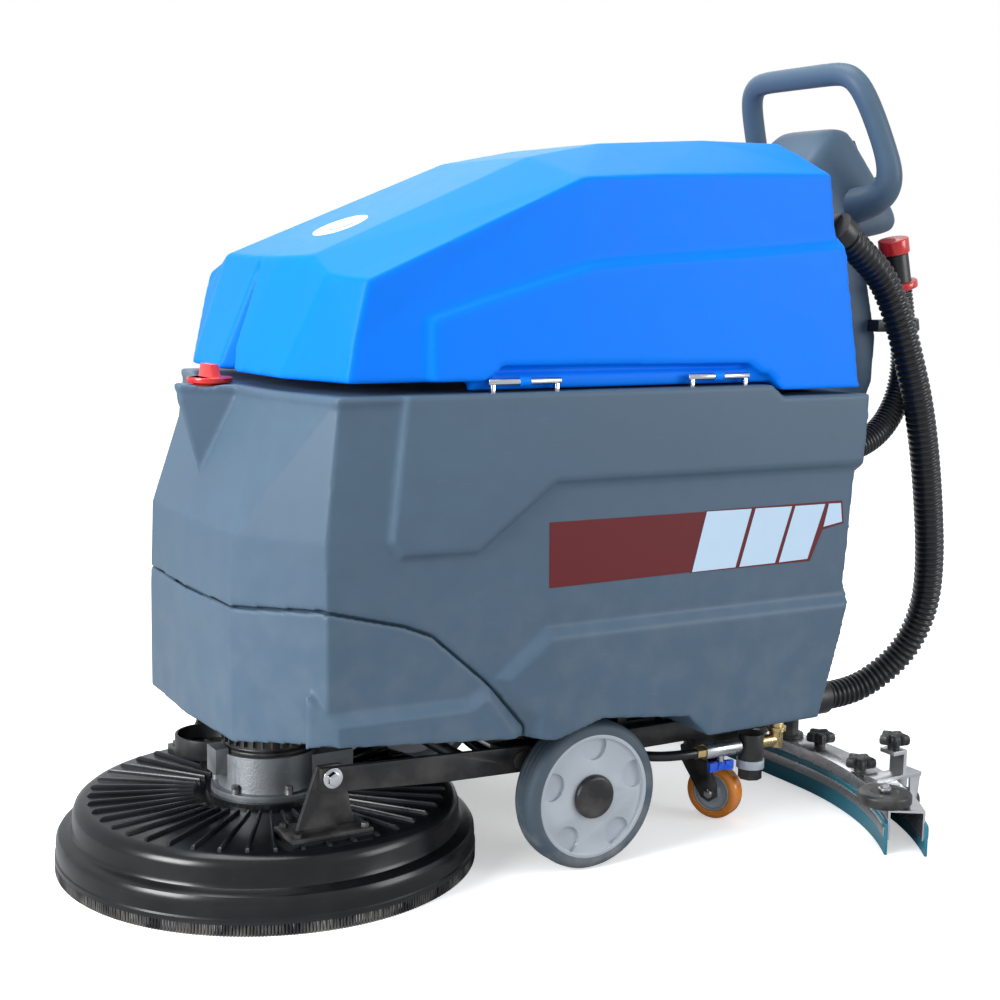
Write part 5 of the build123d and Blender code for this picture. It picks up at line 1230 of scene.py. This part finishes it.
class SCRUBBER_OT_console(bpy.types.Operator):
    """Rear column, console head, loop handle, panel, switches and the squeegee lever"""
    bl_idname = "scrubber.console"
    bl_label = "Console and handle"

    def execute(self, context):
        size = context.scene.scrubber_sizes
        grey = FINISHES["grey_moulding"]
        for node, grid, rounds in (("console_head", CONSOLE_VOXEL, 60),
                                   ("rear_column", size.fine_voxel, 10)):
            bm = merged_bmesh(node)
            if node == "console_head":
                hull = bmesh.ops.convex_hull(bm, input=[v for v in bm.verts
                                                        if abs(v.co.y) < 0.1005])
                inside = [g for g in hull["geom_interior"] + hull["geom_unused"]
                          if isinstance(g, bmesh.types.BMVert)]
                outer = {g for g in hull["geom"] if isinstance(g, bmesh.types.BMFace)}
                bmesh.ops.delete(bm, geom=[f for f in bm.faces if f not in outer],
                                 context="FACES_ONLY")
                bmesh.ops.delete(bm, geom=[v for v in inside if v.is_valid], context="VERTS")
                bmesh.ops.delete(bm, geom=[v for v in bm.verts if not v.link_faces],
                                 context="VERTS")
            shell = from_bmesh(node + "_shell", bm)
            moulded(shell, grid, rounds, 0.7 if node == "console_head" else 0.5)
            if node == "console_head":
                for switch in ("brush_switch", "vacuum_switch", "key_switch"):
                    low, high = (Vector(corner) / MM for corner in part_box(switch))
                    combine(shell, block((low.x - 3, high.x + 3), (low.y - 2, high.y + 2),
                                         (low.z - 3, high.z + 3)), "DIFFERENCE")
                shade(shell, 40)
            shell.data.materials.append(grey)
            settle(shell, "chassis", "grey_moulding", node)
        points = GRIP_HALF + [(x, -y, z) for x, y, z in reversed(GRIP_HALF)]
        straight = (1.0,) * (len(points) - 2 * len(GRIP_FLARE))
        mesh = smooth_line("grip", points, 4, 8, GRIP_FLARE + straight + GRIP_FLARE[::-1],
                           bevel_depth=GRIP_R, bevel_resolution=8, use_fill_caps=True)
        handle = new_object("handle_loop_grip", mesh)
        mesh.materials.clear()
        mesh.materials.append(grey)
        mesh.shade_smooth()
        settle(handle, "chassis", "grey_moulding", "handle_loop")
        dressed("control_panel", "black_plastic", ("black_plastic", "lamp_green"), 0.0008,
                pick=lambda c, n: n if n < 2 else 0)
        dressed("vacuum_motor", "black_plastic", "black_plastic", 0.002)
        for node in ("key_switch", "brush_switch", "vacuum_switch"):
            dressed(node, "black_plastic", "black_plastic", 0.0008)
        dressed("squeegee_lever", "black_steel", ("powder_black", "black_plastic"), 0.002, 3,
                pick=lambda c, n: 1 if c.z > 786 else 0)
        lean = Vector((0.862, 0, 0.507))
        up = Vector((-0.507, 0, 0.862))
        low = Vector((642, 0, 867))
        screw = round_unit("screw", [(3.4, 0), (3.4, 1.2), (2.4, 2.0)], 14)
        points = []
        for across in (-50, 50):
            for along in (27, 129):
                place = low + up * along + Vector((0, across, 0)) + lean * 2.9
                points.append((tuple(place), facing(lean)))
        screws = repeated("panel_screws", points, screw, FINISHES["steel_bright"])
        settle(screws, "chassis", "zinc_steel")
        return {"FINISHED"}


# ------------------------------------------------------------------ hoses and fittings

SUCTION = [(476, -155, 838), (512, -156, 813), (551, -160, 779), (579, -166, 724),
           (604, -169, 655), (632, -165, 590), (662, -155, 506), (691, -140, 420),
           (716, -125, 333), (727, -109, 252), (705, -91, 180), (655, -72, 134),
           (606, -62, 116), (560, -62, 116)]
DRAIN = [(619, -123, 764), (630, -121, 724), (640, -119, 680), (644, -117, 636),
         (635, -116, 591), (609, -117, 553), (570, -118, 528), (524, -118, 518),
         (478, -118, 514), (436, -118, 514)]
WATER = [(190, -213, 117), (142, -213, 117), (92, -168, 118), (36, -124, 119), (-32, -108, 118),
         (-86, -104, 124), (-134, -100, 166), (-196, -92, 196), (-262, -52, 214),
         (-278, 32, 224), (-322, 100, 222), (-372, 124, 210), (-396, 126, 182)]


class SCRUBBER_OT_hoses(bpy.types.Operator):
    """Ribbed suction and drain hoses and the plain water hose"""
    bl_idname = "scrubber.hoses"
    bl_label = "Hoses"

    def execute(self, context):
        size = context.scene.scrubber_sizes
        tree = hose_tree()
        rubber = FINISHES["hose_rubber"]
        jobs = (("suction_hose", SUCTION, 0.045, size.hose_pitch, size.hose_depth),
                ("drain_hose", DRAIN, 0.040, size.drain_pitch, size.drain_depth),
                ("water_hose", WATER, 0.014, 0.012, 0.0))
        for node, points, diameter, pitch, depth in jobs:
            mesh = smooth_line(node + "_line", points, 3, 16)
            hose = new_object(node + "_skin", mesh)
            step = hose.modifiers.new("ribs", "NODES")
            step.node_group = tree
            feed(step, diameter=diameter, rib_pitch=pitch, rib_depth=depth, finish=rubber)
            bake(hose)
            settle(hose, "chassis", "black_rubber", node)
        return {"FINISHED"}


class SCRUBBER_OT_fittings(bpy.types.Operator):
    """Caps, ports, clips and the water valve group"""
    bl_idname = "scrubber.fittings"
    bl_label = "Caps and fittings"

    def execute(self, context):
        dressed("filler_cap", "red_plastic", "red_gloss", 0.0022, 3)
        dressed("drain_cap", "red_plastic", "red_gloss", 0.002, 3)
        start = Vector(DRAIN[0])
        along = (start - Vector(DRAIN[1])).normalized()
        dressed("drain_fitting", "black_plastic", ("black_plastic", "red_gloss"), 0.0015, 3,
                pick=lambda c, n: 1 if (c - start).dot(along) < 10.6 else 0)
        dressed("drain_clip", "black_plastic", "black_plastic", 0.0015)
        dressed("vacuum_port", "black_plastic", "black_plastic", 0.002, 3)

        def fitting(centre, number):
            if centre.z < 84:
                return 3
            if centre.z < 95.5 and centre.x > 260:
                return 4
            if centre.x < 205 or centre.x > 309:
                return 0
            if centre.x < 268:
                return 1
            return 2

        dressed("water_fittings", "brass_fitting",
                ("cast_brass", "steel_bright", "powder_black", "black_plastic", "silver_paint"),
                0.0008, pick=fitting)
        dressed("valve_handle", "blue_handle", "blue_gloss", 0.0015, 3)
        return {"FINISHED"}


# ------------------------------------------------------------------ stage

LIGHTS = (("key", (-3.6, -0.6, 1.6), (-0.4, 0, 0.5), (1.6, 1.3), 150),
          ("top", (-0.3, 0.3, 3.8), (0.0, 0, 0.4), (2.6, 2.6), 105),
          ("fill", (2.8, -3.0, 1.4), (0.2, 0, 0.4), (1.8, 1.8), 62),
          ("rear", (1.6, 3.0, 2.2), (0, 0, 0.5), (2.6, 1.8), 20))
CAMERA_PLACE = (-1.1653, -1.9461, 0.7932)
CAMERA_HEADING, CAMERA_PITCH, CAMERA_ROLL = 30.73, 8.4, 0.97
FLOOR_REACH = (-9000, 9000)
FLOOR_GLOW = 0.45
SKY_STRENGTH = 0.68
WHITE = (1.0, 1.0, 1.0, 1.0)


def area_light(name, place, aim, size, power):
    lamp = bpy.data.lights.new(name, "AREA")
    lamp.shape = "RECTANGLE"
    lamp.size, lamp.size_y = size
    lamp.energy = power
    obj = new_object(name, lamp)
    obj.location = place
    obj.rotation_euler = (Vector(aim) - Vector(place)).to_track_quat("-Z", "Y").to_euler()


class SCRUBBER_OT_stage(bpy.types.Operator):
    """Pale floor, soft studio light and the camera"""
    bl_idname = "scrubber.stage"
    bl_label = "Stage"

    def execute(self, context):
        scene = context.scene
        floor = block(FLOOR_REACH, FLOOR_REACH, (-12, -0.2))
        floor.name = "studio_floor"
        paper = finish("studio_paper", (0.93, 0.93, 0.93), 0.85, tone=0.01, grain=300, bump=0.02,
                       specular=0.2)
        floor.data.materials.append(paper)
        tree = paper.node_tree
        shader = tree.nodes["Principled BSDF"]
        sight = add_node(tree, "ShaderNodeLightPath").outputs["Is Camera Ray"]
        seen = shader.inputs["Base Color"].links[0].from_socket
        wire(tree, shader, {"Base Color": mixed(tree, sight, (0.42, 0.42, 0.43), seen),
                            "Emission Color": WHITE,
                            "Emission Strength": maths(tree, "MULTIPLY", sight, FLOOR_GLOW)})
        for light in LIGHTS:
            area_light(*light)
        world = scene.world or bpy.data.worlds.new("studio")
        scene.world = world
        world.use_nodes = True
        tree = world.node_tree
        sky = wire(tree, tree.nodes["Background"],
                   {"Color": (0.94, 0.97, 1.0, 1), "Strength": SKY_STRENGTH})
        backdrop = add_node(tree, "ShaderNodeBackground", {"Color": WHITE, "Strength": 1.0})
        sight = add_node(tree, "ShaderNodeLightPath").outputs["Is Camera Ray"]
        choice = add_node(tree, "ShaderNodeMixShader",
                          {"Fac": sight, 1: sky.outputs[0], 2: backdrop.outputs[0]})
        wire(tree, tree.nodes["World Output"], {"Surface": choice.outputs[0]})
        scene.view_settings.view_transform = "Standard"
        camera = bpy.data.cameras.new("camera")
        camera.lens = 58.0
        camera.sensor_width = 36.0
        camera.clip_end = 60
        holder = new_object("camera", camera)
        heading, pitch = math.radians(CAMERA_HEADING), math.radians(CAMERA_PITCH)
        ahead = Vector((math.sin(heading) * math.cos(pitch), math.cos(heading) * math.cos(pitch),
                        -math.sin(pitch)))
        look = ahead.to_track_quat("-Z", "Y")
        roll = Euler((0, 0, math.radians(CAMERA_ROLL))).to_quaternion()
        holder.rotation_mode = "QUATERNION"
        holder.rotation_quaternion = look @ roll
        holder.location = CAMERA_PLACE
        scene.camera = holder
        return {"FINISHED"}


STEPS = ("finishes", "body", "tank", "films", "deck", "chassis", "wheels", "squeegee", "console",
         "fittings", "hoses", "stage")


class SCRUBBER_PT_panel(bpy.types.Panel):
    """Sidebar panel with every building step"""
    bl_label = "Floor scrubber"
    bl_idname = "SCRUBBER_PT_panel"
    bl_space_type = "VIEW_3D"
    bl_region_type = "UI"
    bl_category = "Scrubber"

    def draw(self, context):
        for step in STEPS:
            self.layout.operator("scrubber." + step)
        for group in (context.scene.scrubber_sizes, context.scene.scrubber_colours):
            for name in group.__annotations__:
                self.layout.prop(group, name)


CLASSES = (ScrubberSizes, ScrubberColours, SCRUBBER_OT_finishes, SCRUBBER_OT_body,
           SCRUBBER_OT_tank, SCRUBBER_OT_films, SCRUBBER_OT_deck, SCRUBBER_OT_chassis,
           SCRUBBER_OT_wheels, SCRUBBER_OT_squeegee, SCRUBBER_OT_console, SCRUBBER_OT_hoses,
           SCRUBBER_OT_fittings, SCRUBBER_OT_stage, SCRUBBER_PT_panel)


def register():
    for item in CLASSES:
        bpy.utils.register_class(item)
    bpy.types.Scene.scrubber_sizes = PointerProperty(type=ScrubberSizes)
    bpy.types.Scene.scrubber_colours = PointerProperty(type=ScrubberColours)


def unregister():
    del bpy.types.Scene.scrubber_colours
    del bpy.types.Scene.scrubber_sizes
    for item in reversed(CLASSES):
        bpy.utils.unregister_class(item)


def main():
    register()
    for step in STEPS:
        getattr(bpy.ops.scrubber, step)()


if __name__ == "__main__":
    main()
